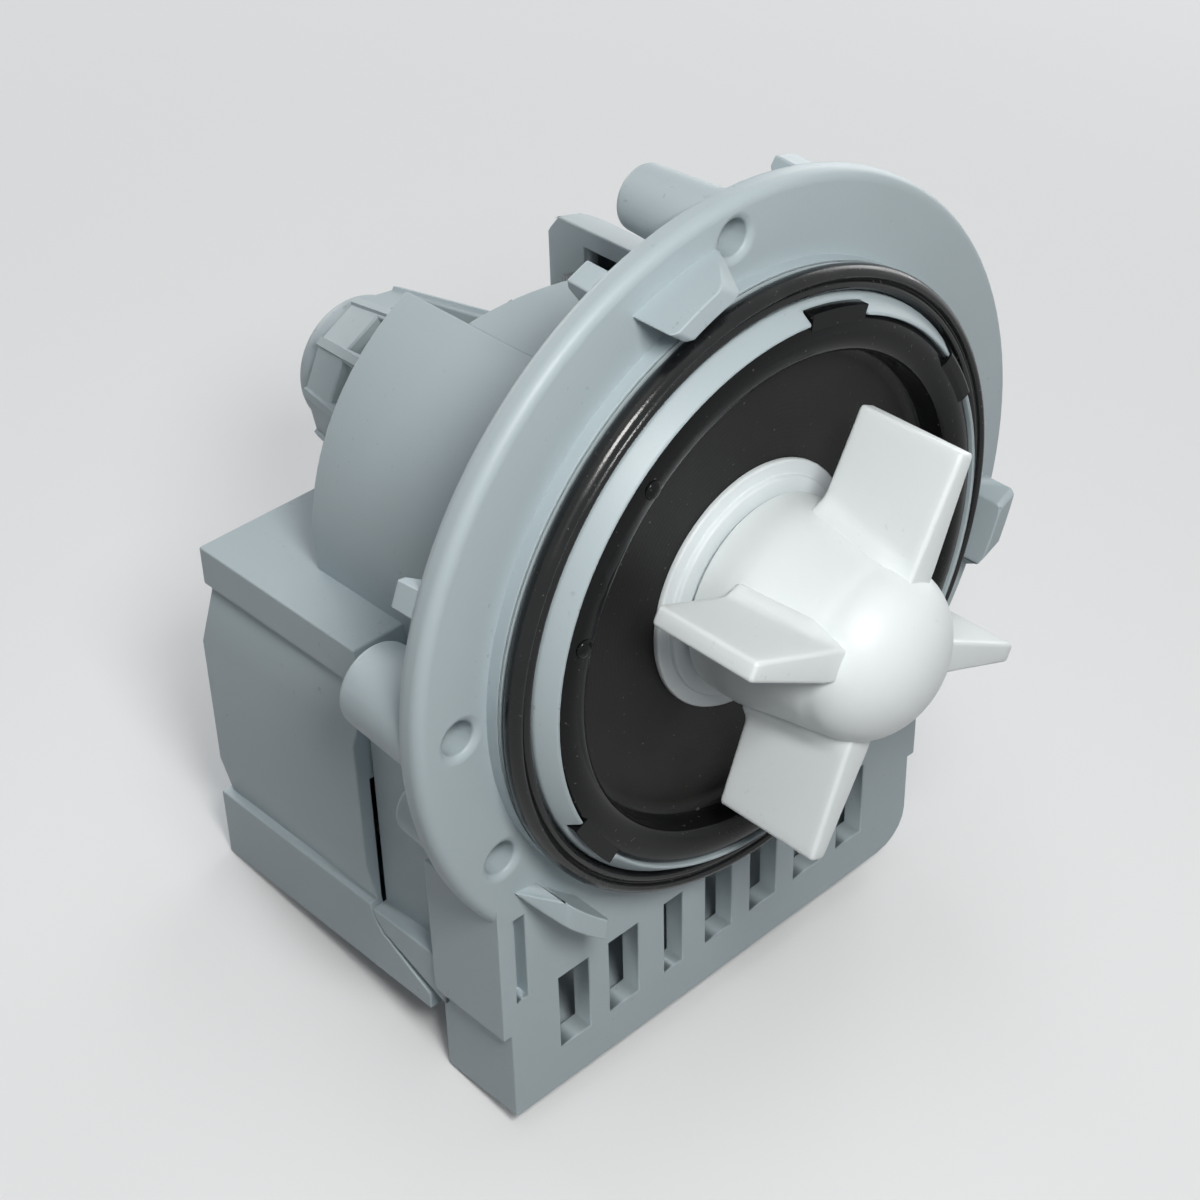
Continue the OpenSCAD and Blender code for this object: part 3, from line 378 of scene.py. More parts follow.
def rubber(name, base, rough, bloom, sheen=0.5):
    """Black rubber with a faint grey bloom, a fine grain and a little lint."""
    f = Finish(name)
    haze = f.noise(6, 3).between(0.42, 0.72)
    lint = f.noise(0.5, 1).between(0.72, 0.78)
    fine = f.noise(0.22, 2)
    tone = f.mix(haze * bloom, base, shade(base, 2.1))
    tone = f.mix(lint * 0.35, tone, (0.16, 0.16, 0.15))
    return f.close(base_color=tone, roughness=rough + haze * 0.16 + fine * 0.06, normal=f.bump(fine, 0.012),
                   specular_ior_level=sheen)


def cover_finish(name, rim, dish):
    """The cover: gloss on the rim and the wall, satin with turning rings in the dish."""
    f = Finish(name)
    radius = f.from_shaft()
    inside = 1 - radius.between(27.6, 29.6)
    ring = ((radius * 1.7).fraction() - 0.5).size() * inside
    film = f.noise(7, 3).between(0.4, 0.72)
    fine = f.noise(0.3, 2)
    tone = f.mix(inside, rim, dish)
    tone = f.mix(film * inside * 0.45, tone, shade(dish, 1.35))
    lint = f.noise(0.55, 1).between(0.72, 0.78)
    tone = f.mix(lint * 0.3, tone, (0.2, 0.19, 0.18))
    return f.close(base_color=tone, roughness=0.1 + inside * 0.28 + film * 0.1 + fine * 0.05,
                   normal=f.bump(fine * 0.5 + ring * 0.4, 0.02), specular_ior_level=0.15)


def metal(name, base, rough, along="Y", lines=0.35, dull=0.2):
    """Worked metal: fine tool lines across one axis and dull patches."""
    f = Finish(name)
    stretch = {"X": (8, 1, 1), "Y": (1, 8, 1)}[along]
    tool = f.noise(0.9, 2, stretch)
    patch = f.noise(4, 3).between(0.45, 0.75)
    tone = f.mix(patch * dull + tool * 0.15, base, shade(base, 0.6))
    return f.close(base_color=tone, metallic=1.0, roughness=rough + tool * lines * 0.3 + patch * dull,
                   normal=f.bump(tool, 0.008))


def lamination(name, base):
    """The stator's stack: sheets half a millimetre thick with dark gaps and a little rust."""
    f = Finish(name)
    across = (f.axis("Y") * 2.0).fraction()
    gap = (across - 0.5).size().between(0.36, 0.46)
    rust = f.noise(2.2, 4).between(0.56, 0.74)
    tone = f.mix(gap * 0.7, base, shade(base, 0.25))
    tone = f.mix(rust * 0.5, tone, (0.16, 0.075, 0.035))
    return f.close(base_color=tone, metallic=0.9 - rust * 0.5, roughness=0.36 + rust * 0.3 + gap * 0.2,
                   normal=f.bump(1 - gap, 0.06))


def wire_finish(name, base):
    """Lacquered copper wire: darker in places, under a clear gloss."""
    f = Finish(name)
    heat = f.noise(5, 3).between(0.4, 0.75)
    fine = f.noise(0.5, 2)
    tone = f.mix(heat * 0.6, base, shade(base, 0.6))
    return f.close(base_color=tone, metallic=0.85, roughness=0.24 + fine * 0.14 + heat * 0.1,
                   normal=f.bump(fine, 0.01), coat_weight=0.5)


def sintered(name, base):
    """Sintered bronze or pressed ferrite: grains and dark pores."""
    f = Finish(name)
    grain = f.noise(0.18, 2)
    pore = f.noise(0.4, 1).between(0.64, 0.72)
    tone = f.mix(grain, shade(base, 0.75), shade(base, 1.2))
    tone = f.mix(pore * 0.7, tone, shade(base, 0.3))
    return f.close(base_color=tone, metallic=0.7, roughness=0.42 + pore * 0.25 + grain * 0.08,
                   normal=f.bump(grain - pore, 0.03))


def finishes():
    """The finishes by the names of their slots."""
    c = bpy.context.scene.pump_colours
    return {
        "body_plastic": moulded("body_plastic", tuple(c.body), rough=0.43, mottle=0.045,
                                grain_depth=0.018, dust=0.3),
        # The edge finish is a lighter grey: partly rubbed wear, partly a painted highlight
        "body_edge": moulded("body_edge", tuple(c.body_edge), rough=0.36, mottle=0.03, grain_depth=0.012),
        "seal_rubber": rubber("seal_rubber", tuple(c.seal), rough=0.14, bloom=0.3, sheen=0.36),
        "cover_plastic": cover_finish("cover_plastic", tuple(c.cover), tuple(c.dish)),
        "inner_rubber": rubber("inner_rubber", (0.028, 0.028, 0.03), rough=0.55, bloom=0.5),
        "impeller_plastic": moulded("impeller_plastic", tuple(c.impeller), rough=0.34, mottle=0.02,
                                    grain_depth=0.012, dust=0.1, glow=0.08),
        "collar_plastic": moulded("collar_plastic", tuple(c.collar), rough=0.36, mottle=0.03,
                                  grain_depth=0.012, dust=0.15, glow=0.06),
        "natural_plastic": moulded("natural_plastic", tuple(c.natural), rough=0.4, mottle=0.05,
                                   grain_depth=0.015, dust=0.15, glow=0.05),
        "bronze": sintered("bronze", (0.42, 0.27, 0.12)),
        "shaft_steel": metal("shaft_steel", (0.62, 0.63, 0.65), rough=0.2),
        "lamination_steel": lamination("lamination_steel", (0.33, 0.34, 0.36)),
        "rivet_steel": metal("rivet_steel", (0.55, 0.55, 0.56), rough=0.32, along="X", lines=0.2,
                             dull=0.35),
        "copper_winding": wire_finish("copper_winding", tuple(c.copper)),
        "ferrite": sintered("ferrite", (0.055, 0.055, 0.06)),
        "fuse_case": moulded("fuse_case", linear(58, 55, 52), rough=0.5, mottle=0.08, grain_depth=0.03,
                             dust=0.2),
        "terminal_brass": metal("terminal_brass", (0.72, 0.52, 0.24), rough=0.26, lines=0.4, dull=0.25),
    }


# Finishes by the name of their slot, made by the first operator
FINISH = {}


def skin(bm, rows, wrap_rows=False, wrap_points=False, caps=False):
    """Quads over rows of points in millimetres, with closed ends where caps is set."""
    verts = [[bm.verts.new(Vector(p) * MM) for p in row] for row in rows]
    count = len(rows[0])
    for i in range(len(rows) if wrap_rows else len(rows) - 1):
        here, there = verts[i], verts[(i + 1) % len(rows)]
        for j in range(count if wrap_points else count - 1):
            k = (j + 1) % count
            bm.faces.new((here[j], here[k], there[k], there[j]))
    if caps:
        bm.faces.new(verts[0])
        bm.faces.new(verts[-1])


def around(r, y, degrees):
    """A point at a distance and angle from the shaft; angles go from +X towards +Z."""
    a = math.radians(degrees)
    return (r * math.cos(a), y, r * math.sin(a))


def eased(profile, steps=4):
    """A closed profile of (r, y, ease) corners, each corner rounded within ease."""
    out = []
    for i, (r, y, ease) in enumerate(profile):
        here = Vector((r, y))
        before = Vector(profile[i - 1][:2]) - here
        after = Vector(profile[(i + 1) % len(profile)][:2]) - here
        cut = min(ease, EASE_SHARE * before.length, EASE_SHARE * after.length)
        if cut < EASE_LEAST:
            out.append((r, y))
            continue
        first = here + before.normalized() * cut
        last = here + after.normalized() * cut
        for s in range(steps + 1):
            t = s / steps
            p = first * (1 - t) ** 2 + here * (2 * t * (1 - t)) + last * t ** 2
            out.append((p.x, p.y))
    return out


def lathe(bm, profile, steps):
    """Spins a closed profile round the shaft."""
    rows = [[around(r, y, 360 * i / steps) for r, y in profile] for i in range(steps)]
    skin(bm, rows, wrap_rows=True, wrap_points=True)


def ease_edges(bm, ease, segments=3):
    """Rounds the edges at which faces meet at a clear angle."""
    hard = [e for e in bm.edges if e.calc_face_angle(0) > HARD_EDGE]
    bmesh.ops.bevel(bm, geom=hard, offset=ease * MM, segments=segments, profile=0.5, affect="EDGES")


def oblong(r_in, r_out, y0, y1):
    """A four-cornered profile."""
    return [(r_in, y0), (r_out, y0), (r_out, y1), (r_in, y1)]


def arc_sweep(bm, profile, a0, a1, ease=0.0, steps=10):
    """A closed profile carried part of the way round the shaft, with eased edges where ease is set."""
    part = bmesh.new()
    turns = [a0 + (a1 - a0) * i / steps for i in range(steps + 1)]
    skin(part, [[around(r, y, a) for r, y in profile] for a in turns], wrap_points=True, caps=True)
    if ease:
        ease_edges(part, ease)
    join(bm, part)


def pip(bm, middle, radius, rise):
    """A small round bump that stands out of a face towards the front."""
    spread = Matrix.Diagonal((radius * MM, rise * MM, radius * MM, 1))
    bmesh.ops.create_uvsphere(bm, u_segments=20, v_segments=12, radius=1,
                              matrix=Matrix.Translation(Vector(middle) * MM) @ spread)


def join(bm, part):
    """Adds the faces of one shape to another."""
    held = bpy.data.meshes.new("held")
    part.to_mesh(held)
    part.free()
    bm.from_mesh(held)
    bpy.data.meshes.remove(held)


def mesh_of(bm, name, sharp=32):
    """A smooth mesh with its doubles merged and its faces turned outwards."""
    bmesh.ops.remove_doubles(bm, verts=bm.verts, dist=MERGE_GAP * MM)
    bmesh.ops.dissolve_degenerate(bm, edges=bm.edges, dist=SLIVER * MM)
    bmesh.ops.recalc_face_normals(bm, faces=bm.faces)
    mesh = bpy.data.meshes.new(name)
    bm.to_mesh(mesh)
    bm.free()
    mesh.shade_smooth()
    mesh.set_sharp_from_angle(angle=math.radians(sharp))
    return mesh


def place(mesh, name, slot, body, *replaced, edge=None):
    """Links a finished mesh as a piece that rides on a body and stands for nodes."""
    mesh.materials.clear()
    mesh.materials.append(FINISH[slot])
    if edge:
        mesh.materials.append(FINISH[edge])
    piece = bpy.data.objects.new(name, mesh)
    bpy.context.scene.collection.objects.link(piece)
    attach(piece, body)
    if replaced:
        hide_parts(*replaced)
    return piece


def dress(bm, node, slot, body, sharp=32):
    """Places a finished shape as the look of one node."""
    return place(mesh_of(bm, node + "_look", sharp), node + "_look", slot, body, node)


def node_tree(name, *inputs):
    """An empty Geometry Nodes tree with named inputs, and a function that adds its nodes."""
    tree = bpy.data.node_groups.new(name, "GeometryNodeTree")
    tree.interface.new_socket(name="Geometry", in_out="INPUT", socket_type="NodeSocketGeometry")
    for title, kind in inputs:
        tree.interface.new_socket(name=title, in_out="INPUT", socket_type="NodeSocket" + kind)
    tree.interface.new_socket(name="Geometry", in_out="OUTPUT", socket_type="NodeSocketGeometry")

    def add(kind, settings=None, sockets=None):
        node = tree.nodes.new(kind)
        for key, value in (settings or {}).items():
            setattr(node, key, value)
        for key, value in (sockets or {}).items():
            if isinstance(value, bpy.types.NodeSocket):
                tree.links.new(value, node.inputs[key])
            else:
                node.inputs[key].default_value = value
        return node

    return tree, add


def copies_round_shaft():
    """Tree: copies of a shape at even steps round the shaft."""
    tree, add = node_tree("Copies round the shaft", ("Count", "Int"), ("First angle", "Float"),
                          ("Finish", "Material"))
    start = add("NodeGroupInput").outputs
    points = add("GeometryNodeMeshLine", {"mode": "OFFSET"}, {"Count": start["Count"], "Offset": (0, 0, 0)})
    step = add("ShaderNodeMath", {"operation": "DIVIDE"}, {0: TAU, 1: start["Count"]})
    turn = add("ShaderNodeMath", {"operation": "MULTIPLY"},
               {0: add("GeometryNodeInputIndex").outputs[0], 1: step.outputs[0]})
    whole = add("ShaderNodeMath", {"operation": "ADD"}, {0: turn.outputs[0], 1: start["First angle"]})
    back = add("ShaderNodeMath", {"operation": "MULTIPLY"}, {0: whole.outputs[0], 1: -1.0})
    angles = add("ShaderNodeCombineXYZ", {}, {"Y": back.outputs[0]})
    spread = add("GeometryNodeInstanceOnPoints", {}, {"Points": points.outputs["Mesh"],
                                                      "Instance": start["Geometry"],
                                                      "Rotation": angles.outputs[0]})
    finish_tree(add, spread.outputs["Instances"], start["Finish"])
    return tree


def stacked_turns():
    """Tree: turns of wire laid one on another."""
    tree, add = node_tree("Stacked turns", ("Count", "Int"), ("Pitch", "Float"), ("Finish", "Material"))
    start = add("NodeGroupInput").outputs
    rise = add("ShaderNodeCombineXYZ", {}, {"Z": start["Pitch"]})
    points = add("GeometryNodeMeshLine", {"mode": "OFFSET"},
                 {"Count": start["Count"], "Offset": rise.outputs[0]})
    spread = add("GeometryNodeInstanceOnPoints", {}, {"Points": points.outputs["Mesh"],
                                                      "Instance": start["Geometry"]})
    finish_tree(add, spread.outputs["Instances"], start["Finish"])
    return tree


def finish_tree(add, geometry, finish):
    """Ends a tree: the copies become plain geometry and get their material."""
    real = add("GeometryNodeRealizeInstances", {}, {"Geometry": geometry})
    dressed = add("GeometryNodeSetMaterial", {}, {"Geometry": real.outputs["Geometry"], "Material": finish})
    add("NodeGroupOutput", {}, {"Geometry": dressed.outputs["Geometry"]})


def run_tree(tree, mesh, **inputs):
    """The plain mesh that a tree makes from a mesh and its named inputs."""
    holder = bpy.data.objects.new("holder", mesh)
    bpy.context.scene.collection.objects.link(holder)
    modifier = holder.modifiers.new("Tree", "NODES")
    modifier.node_group = tree
    titles = {item.name: item.identifier for item in tree.interface.items_tree if item.in_out == "INPUT"}
    for title, value in inputs.items():
        modifier[titles[title.replace("_", " ")]] = value
    seen = holder.evaluated_get(bpy.context.evaluated_depsgraph_get())
    made = bpy.data.meshes.new_from_object(seen)
    holder.modifiers.remove(modifier)
    bpy.data.objects.remove(holder)
    return made


def softened(name, width, slot, edge):
    """A merged copy of a shell's mesh with its outer edges rounded and its flat faces kept flat."""
    bm = bmesh.new()
    bm.from_mesh(NODES[name].data)
    bmesh.ops.remove_doubles(bm, verts=bm.verts, dist=NODE_MERGE_GAP * MM)
    bmesh.ops.dissolve_limit(bm, angle_limit=FLAT_FACE, use_dissolve_boundaries=False,
                             verts=bm.verts, edges=bm.edges)
    weight = bm.edges.layers.float.new("bevel_weight_edge")
    for e in bm.edges:
        if len(e.link_faces) != 2 or e.calc_face_angle(0) < SHELL_EDGE:
            continue
        if e.is_convex:
            e[weight] = 1.0
        else:
            e.smooth = False
    # Where a rounded edge runs out at an inner corner, its last short piece stays sharp
    short = 4 * width
    ends = [[e for e in v.link_edges if e[weight] > 0] for v in bm.verts]
    for rounded in ends:
        if len(rounded) == 1 and rounded[0].calc_length() < short:
            rounded[0][weight] = 0.0
    mesh = bpy.data.meshes.new(name + "_plain")
    bm.to_mesh(mesh)
    bm.free()
    mesh.polygons.foreach_set("use_smooth", [True] * len(mesh.polygons))
    mesh.materials.clear()
    mesh.materials.append(FINISH[slot])
    mesh.materials.append(FINISH[edge])
    holder = bpy.data.objects.new("holder", mesh)
    bpy.context.scene.collection.objects.link(holder)
    rounding = holder.modifiers.new("Rounded edges", "BEVEL")
    rounding.width = width
    rounding.segments = 2
    rounding.limit_method = "WEIGHT"
    rounding.use_clamp_overlap = False
    # The rounded edges take the second, lighter finish, which paints a highlight along them as well as wear
    rounding.material = 1
    flatten = holder.modifiers.new("Flat faces", "WEIGHTED_NORMAL")
    flatten.weight = 100
    flatten.keep_sharp = True
    made = bpy.data.meshes.new_from_object(holder.evaluated_get(bpy.context.evaluated_depsgraph_get()))
    bpy.data.objects.remove(holder)
    made.name = name + "_look"
    return place(made, name + "_look", slot, "housing", name, edge=edge)


class PUMP_OT_finishes(bpy.types.Operator):
    """Make the finishes and put them on the nodes that stay as they are"""
    bl_idname = "pump.finishes"
    bl_label = "Finishes"

    def execute(self, context):
        FINISH.update(finishes())
        for node in NODES.values():
            for slot in node.material_slots:
                key = slot.material.name.split(".")[0]
                if key in FINISH:
                    slot.link = "OBJECT"
                    slot.material = FINISH[key]
        return {"FINISHED"}


class PUMP_OT_shells(bpy.types.Operator):
    """Round the edges of the two large grey shells"""
    bl_idname = "pump.shells"
    bl_label = "Grey shells"

    def execute(self, context):
        edge = context.scene.pump_sizes.shell_edge
        for node in ("front_housing", "coil_cover"):
            softened(node, edge, "body_plastic", "body_edge")
        return {"FINISHED"}


def cone_radius(y):
    """Radius at the corners of the fan cover's cone."""
    f = FAN_COVER
    return f["r_front"] + (f["r_back"] - f["r_front"]) * (y - f["front"]) / (f["back"] - f["front"])


def vent_panel():
    """One flat side of the fan cover, facing +X, with its vent."""
    f = FAN_COVER
    half = math.pi / f["sides"]
    bm = bmesh.new()
    levels = (f["front"], f["vent_front"], f["vent_back"], f["back"])
    inner = len(levels)
    grid = []
    for depth in (0.0, f["wall"]):
        for y in levels:
            wide = cone_radius(y) * math.sin(half) + PANEL_OVERLAP
            flat = cone_radius(y) * math.cos(half) - depth
            across = (-wide, -f["vent_half"], f["vent_half"], wide)
            grid.append([bm.verts.new(Vector((flat, y, t)) * MM) for t in across])
    for i in range(3):
        for j in range(3):
            if i == 1 and j == 1:
                continue
            for k in (0, inner):
                here, there = grid[k + i], grid[k + i + 1]
                bm.faces.new((here[j], here[j + 1], there[j + 1], there[j]))
    window = [(1, 1), (1, 2), (2, 2), (2, 1)]
    border = [(0, 0), (0, 1), (0, 2), (0, 3), (1, 3), (2, 3),
              (3, 3), (3, 2), (3, 1), (3, 0), (2, 0), (1, 0)]
    for ring in (window, border):
        for (i, j), (m, n) in zip(ring, ring[1:] + ring[:1]):
            bm.faces.new((grid[i][j], grid[m][n], grid[m + inner][n], grid[i + inner][j]))
    bmesh.ops.recalc_face_normals(bm, faces=bm.faces)
    sides = zip(window, window[1:] + window[:1])
    rim = [bm.edges.get((grid[i][j], grid[m][n])) for (i, j), (m, n) in sides]
    bmesh.ops.bevel(bm, geom=rim, offset=f["vent_edge"] * MM, segments=2, profile=0.5, affect="EDGES")
    return mesh_of(bm, "vent_panel", 25)


def cover_rib():
    """One rib along a corner of the fan cover, at angle 0."""
    f = FAN_COVER
    foot = f["rib_half"]
    crest = foot - f["rib_taper"]
    rows = []
    for y in (f["front"], f["back"] + RIB_PROUD):
        top, low = cone_radius(y) + f["rib_h"], cone_radius(y) - f["rib_root"]
        rows.append([(low, y, -foot), (top, y, -crest), (top, y, crest), (low, y, foot)])
    bm = bmesh.new()
    skin(bm, rows, wrap_points=True, caps=True)
    ease_edges(bm, f["rib_edge"])
    return mesh_of(bm, "cover_rib", 30)


class PUMP_OT_fan_cover(bpy.types.Operator):
    """Make the vented cap over the cooling fan from its panels, ribs and button"""
    bl_idname = "pump.fan_cover"
    bl_label = "Fan cover"

    def execute(self, context):
        f = FAN_COVER
        first = math.radians(f["first_rib"])
        grey = FINISH["body_plastic"]
        tree = copies_round_shaft()
        panels = run_tree(tree, vent_panel(), Count=f["sides"], First_angle=first + math.pi / f["sides"],
                          Finish=grey)
        ribs = run_tree(tree, cover_rib(), Count=f["sides"], First_angle=first, Finish=grey)
        inside = f["back"] - f["wall"]
        plate = f["back"] + PLATE_PROUD
        tip = f["back"] + f["button_h"]
        bm = bmesh.new()
        lathe(bm, eased([
            (0, inside, 0), (f["plate_r"], inside, 0), (f["plate_r"], plate, 0.1),
            (f["button_r"], plate, 0.4), (f["button_r"], tip, f["button_edge"]), (0, tip, 0)], 8), 96)
        lathe(bm, [
            (f["seat_r"], f["front"]), (f["seat_out_front"], f["front"]),
            (f["seat_out_back"], f["seat_back"]), (f["seat_r"], f["seat_back"])], 96)
        bm.from_mesh(panels)
        bm.from_mesh(ribs)
        dress(bm, "fan_cover", "body_plastic", "housing", 28)
        return {"FINISHED"}


class PUMP_OT_seal(bpy.types.Operator):
    """Make the round rubber seal with the groove between its two lips"""
    bl_idname = "pump.seal"
    bl_label = "Flange seal"

    def execute(self, context):
        low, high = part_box("flange_seal")
        half = (high.y - low.y) / 2 / MM
        middle = (high.x - low.x) / 2 / MM - half
        depth = (high.y + low.y) / 2 / MM
        groove = context.scene.pump_sizes.seal_groove / MM
        steps = 72
        profile = []
        for i in range(steps):
            a = TAU * i / steps
            dip = groove * math.exp(-((math.degrees(a) - SEAL_GROOVE_ANGLE) / SEAL_GROOVE_SPREAD) ** 2)
            profile.append((middle + (half - dip) * math.cos(a), depth + (half - dip) * math.sin(a)))
        bm = bmesh.new()
        lathe(bm, profile, 220)
        dress(bm, "flange_seal", "seal_rubber", "housing", 60)
        return {"FINISHED"}


class PUMP_OT_cover(bpy.types.Operator):
    """Make the dished black cover with its tabs, pips and lip"""
    bl_idname = "pump.cover"
    bl_label = "Front cover"

    def execute(self, context):
        inner = PLUG_R - PLUG_WALL
        middle, half = (inner + RIM_R) / 2, (RIM_R - inner) / 2
        turns = [math.pi * i / 12 for i in range(13)]
        crown = [(middle - half * math.cos(a), RIM_FRONT_Y + RIM_CROWN * (1 - math.sin(a)), 0)
                 for a in turns]
        bm = bmesh.new()
        lathe(bm, eased([
            (COVER_BORE_R, FLOOR_FRONT_Y, 0.2), (inner, FLOOR_FRONT_Y, 2.2), *crown,
            (RIM_R, RIM_BACK_Y, 0.3), (PLUG_R, RIM_BACK_Y, 0), (PLUG_R, FLOOR_BACK_Y, 0.3),
            (GROOVE_OUT_R, FLOOR_BACK_Y, 0), (GROOVE_OUT_R, GROOVE_Y, 0), (GROOVE_IN_R, GROOVE_Y, 0),
            (GROOVE_IN_R, FLOOR_BACK_Y, 0), (COVER_BORE_R, FLOOR_BACK_Y, 0.2)]), 200)
        tab = oblong(RIM_R - TAB_ROOT, RIM_R + TAB_OUT, RIM_FRONT_Y + TAB_SETBACK, RIM_BACK_Y)
        for a in TAB_ANGLES:
            arc_sweep(bm, tab, a - TAB_HALF_ANGLE, a + TAB_HALF_ANGLE, TAB_EDGE)
        # On the upper right a thin lip of the cover laps over the front of the spigot
        arc_sweep(bm, eased(LAP_PROFILE), *LAP_ANGLES)
        for a in PIP_ANGLES:
            pip(bm, around(middle, RIM_FRONT_Y, a), PIP_R, PIP_RISE)
        dress(bm, "front_cover", "cover_plastic", "housing")
        return {"FINISHED"}


class PUMP_OT_collar(bpy.types.Operator):
    """Make the white stepped collar behind the impeller"""
    bl_idname = "pump.collar"
    bl_label = "Bearing collar"

    def execute(self, context):
        c = COLLAR
        step = FLOOR_FRONT_Y - c["step_h"]
        front = step - c["step_h"]
        bm = bmesh.new()
        lathe(bm, eased([
            (c["pocket_r"], front, 0.2), (c["step_r"], front, 0.4), (c["step_r"], step, 0.12),
            (c["flange_r"], step, 0.45), (c["flange_r"], FLOOR_FRONT_Y, 0.1),
            (c["neck_r"], FLOOR_FRONT_Y, 0), (c["neck_r"], c["neck_back"], 0.2),
            (c["hole_r"], c["neck_back"], 0.2), (c["hole_r"], c["pocket_back"], 0.2),
            (c["pocket_r"], c["pocket_back"], 0.2)]), 128)
        dress(bm, "bearing_collar", "collar_plastic", "housing")
        return {"FINISHED"}


def bell_radius(y):
    """Radius of the bell's outside at a place along the shaft."""
    if y < SHOULDER_Y:
        return NOSE_R * math.sqrt(max(0.0, 1 - ((SHOULDER_Y - y) / NOSE_LONG) ** 2))
    for (r0, y0), (r1, y1) in zip(BELL, BELL[1:]):
        if y >= y1:
            return r0 + (r1 - r0) * min(1.0, max(0.0, (y0 - y) / (y0 - y1)))
    return BELL[0][0]


def blade_mesh(sizes):
    """One blade along +X: a flat plate with a filleted root and rounded edges."""
    ease = sizes.blade_edge / MM
    root = sizes.blade_root / MM
    corner_steps, side_steps = 4, 12
    along = [s / side_steps for s in range(1, side_steps)]
    # The points of one ring: where they lie on the section, and the way out of its rounded corners
    loop = []
    for u0, v0, a0 in ((1, 1, 0), (0, 1, 90), (0, -1, 180), (1, -1, 270)):
        for s in range(corner_steps + 1):
            a = math.radians(a0 + 90 * s / corner_steps)
            loop.append((u0, v0, math.cos(a), math.sin(a)))
        if v0 == 1 and u0 == 1:
            loop += [(1 - u, 1, 0, 1) for u in along]
        if v0 == -1 and u0 == 0:
            loop += [(u, -1, 0, -1) for u in along]
    inset, short = BLADE_TIP_RINGS[0]
    rows = [blade_row(loop, t, inset, short, ease, root) for t in BLADE_STATIONS]
    rows += [blade_row(loop, 1, inset, short, ease, root) for inset, short in BLADE_TIP_RINGS]
    bm = bmesh.new()
    skin(bm, rows, wrap_points=True, caps=True)
    return mesh_of(bm, "blade", 40)


def blade_row(loop, t, inset, short, ease, root):
    """One ring of points round a blade, t of the way out along it and short of its tip."""
    corner = max(EASE_LEAST, ease - inset)
    row = []
    for u, v, cu, cv in loop:
        y = BLADE_FRONT_Y + (BLADE_BACK_Y - BLADE_FRONT_Y) * u
        start = BLADE_START_R + BLADE_START_RISE * u
        x = start + (BLADE_TIP_R - short - start) * t
        gap = max(0.0, x - bell_radius(y) + FILLET_SUNK)
        taper = min(1.0, max(0.0, (x - BLADE_TAPER_R) / (BLADE_TIP_R - BLADE_TAPER_R)))
        half = BLADE_ROOT_HALF - (BLADE_ROOT_HALF - BLADE_TIP_HALF) * taper
        fade = max(0.0, 1 - gap / (FILLET_REACH * root)) ** FILLET_CURVE
        flare = root * fade * min(1.0, u * FILLET_FADE)
        if u in (0, 1):
            y += (1 - 2 * u) * ease + cu * corner
        row.append((x, y, v * (half + flare - ease) + cv * corner))
    return row


class PUMP_OT_impeller(bpy.types.Operator):
    """Make the impeller: the spun bell, its stop and the ring of blades"""
    bl_idname = "pump.impeller"
    bl_label = "Impeller"

    def execute(self, context):
        sizes = context.scene.pump_sizes
        outside = eased([
            (HOLLOW_R, BELL_BACK_Y, 0.3), (BELL[0][0], BELL_BACK_Y, 0.5),
            *((r, y, ease) for (r, y), ease in zip(BELL[1:], BELL_EASES))])
        turns = [math.pi * i / 32 for i in range(1, 17)]
        nose = [(NOSE_R * math.cos(a), SHOULDER_Y - NOSE_LONG * math.sin(a)) for a in turns]
        inside = [(0, BORE_FRONT_Y), (BORE_R, BORE_FRONT_Y), (BORE_R, HOLLOW_FRONT_Y),
                  (HOLLOW_R, HOLLOW_FRONT_Y)]
        bm = bmesh.new()
        lathe(bm, outside + nose + inside, 128)
        stop = oblong(STOP_IN_R, STOP_OUT_R, HOLLOW_FRONT_Y - STOP_SUNK, STOP_BACK_Y)
        arc_sweep(bm, stop, STOP_ANGLE - STOP_HALF_ANGLE, STOP_ANGLE + STOP_HALF_ANGLE, steps=12)
        ring = run_tree(copies_round_shaft(), blade_mesh(sizes), Count=sizes.blades,
                        First_angle=math.radians(BLADE_ANGLE), Finish=FINISH["impeller_plastic"])
        bm.from_mesh(ring)
        dress(bm, "impeller", "impeller_plastic", "impeller", 40)
        return {"FINISHED"}


class PUMP_OT_fan(bpy.types.Operator):
    """Make the cooling fan behind the rotor"""
    bl_idname = "pump.fan"
    bl_label = "Cooling fan"

    def execute(self, context):
        f = FAN
        low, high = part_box("cooling_fan")
        y0, y1 = low.y / MM, high.y / MM
        root, tip = f["blade_r"], high.x / MM
        front = y0 + f["front_gap"]
        rows = []
        for t in (0, 0.25, 0.5, 0.75, 1):
            x = root + (tip - root) * t
            thin = f["blade_half"] - f["blade_taper"] * t
            back = y1 - f["back_gap"] - t
            rows.append([(x, front, -thin), (x, front, thin), (x, back, thin), (x, back, -thin)])
        blade = bmesh.new()
        skin(blade, rows, wrap_points=True, caps=True)
        ease_edges(blade, f["blade_edge"], 2)
        ring = run_tree(copies_round_shaft(), mesh_of(blade, "fan_blade"),
                        Count=context.scene.pump_sizes.fan_blades, First_angle=0.0,
                        Finish=FINISH["natural_plastic"])
        disc = y0 + f["disc_h"]
        bm = bmesh.new()
        lathe(bm, eased([
            (f["bore_r"], y0, 0.1), (f["disc_r"], y0, 0.2), (f["disc_r"], disc, 0.3),
            (f["hub_r"], disc, 0.4), (f["hub_r"], y1, 0.4), (f["bore_r"], y1, 0.1)]), 64)
        bm.from_mesh(ring)
        dress(bm, "cooling_fan", "natural_plastic", "rotor")
        return {"FINISHED"}


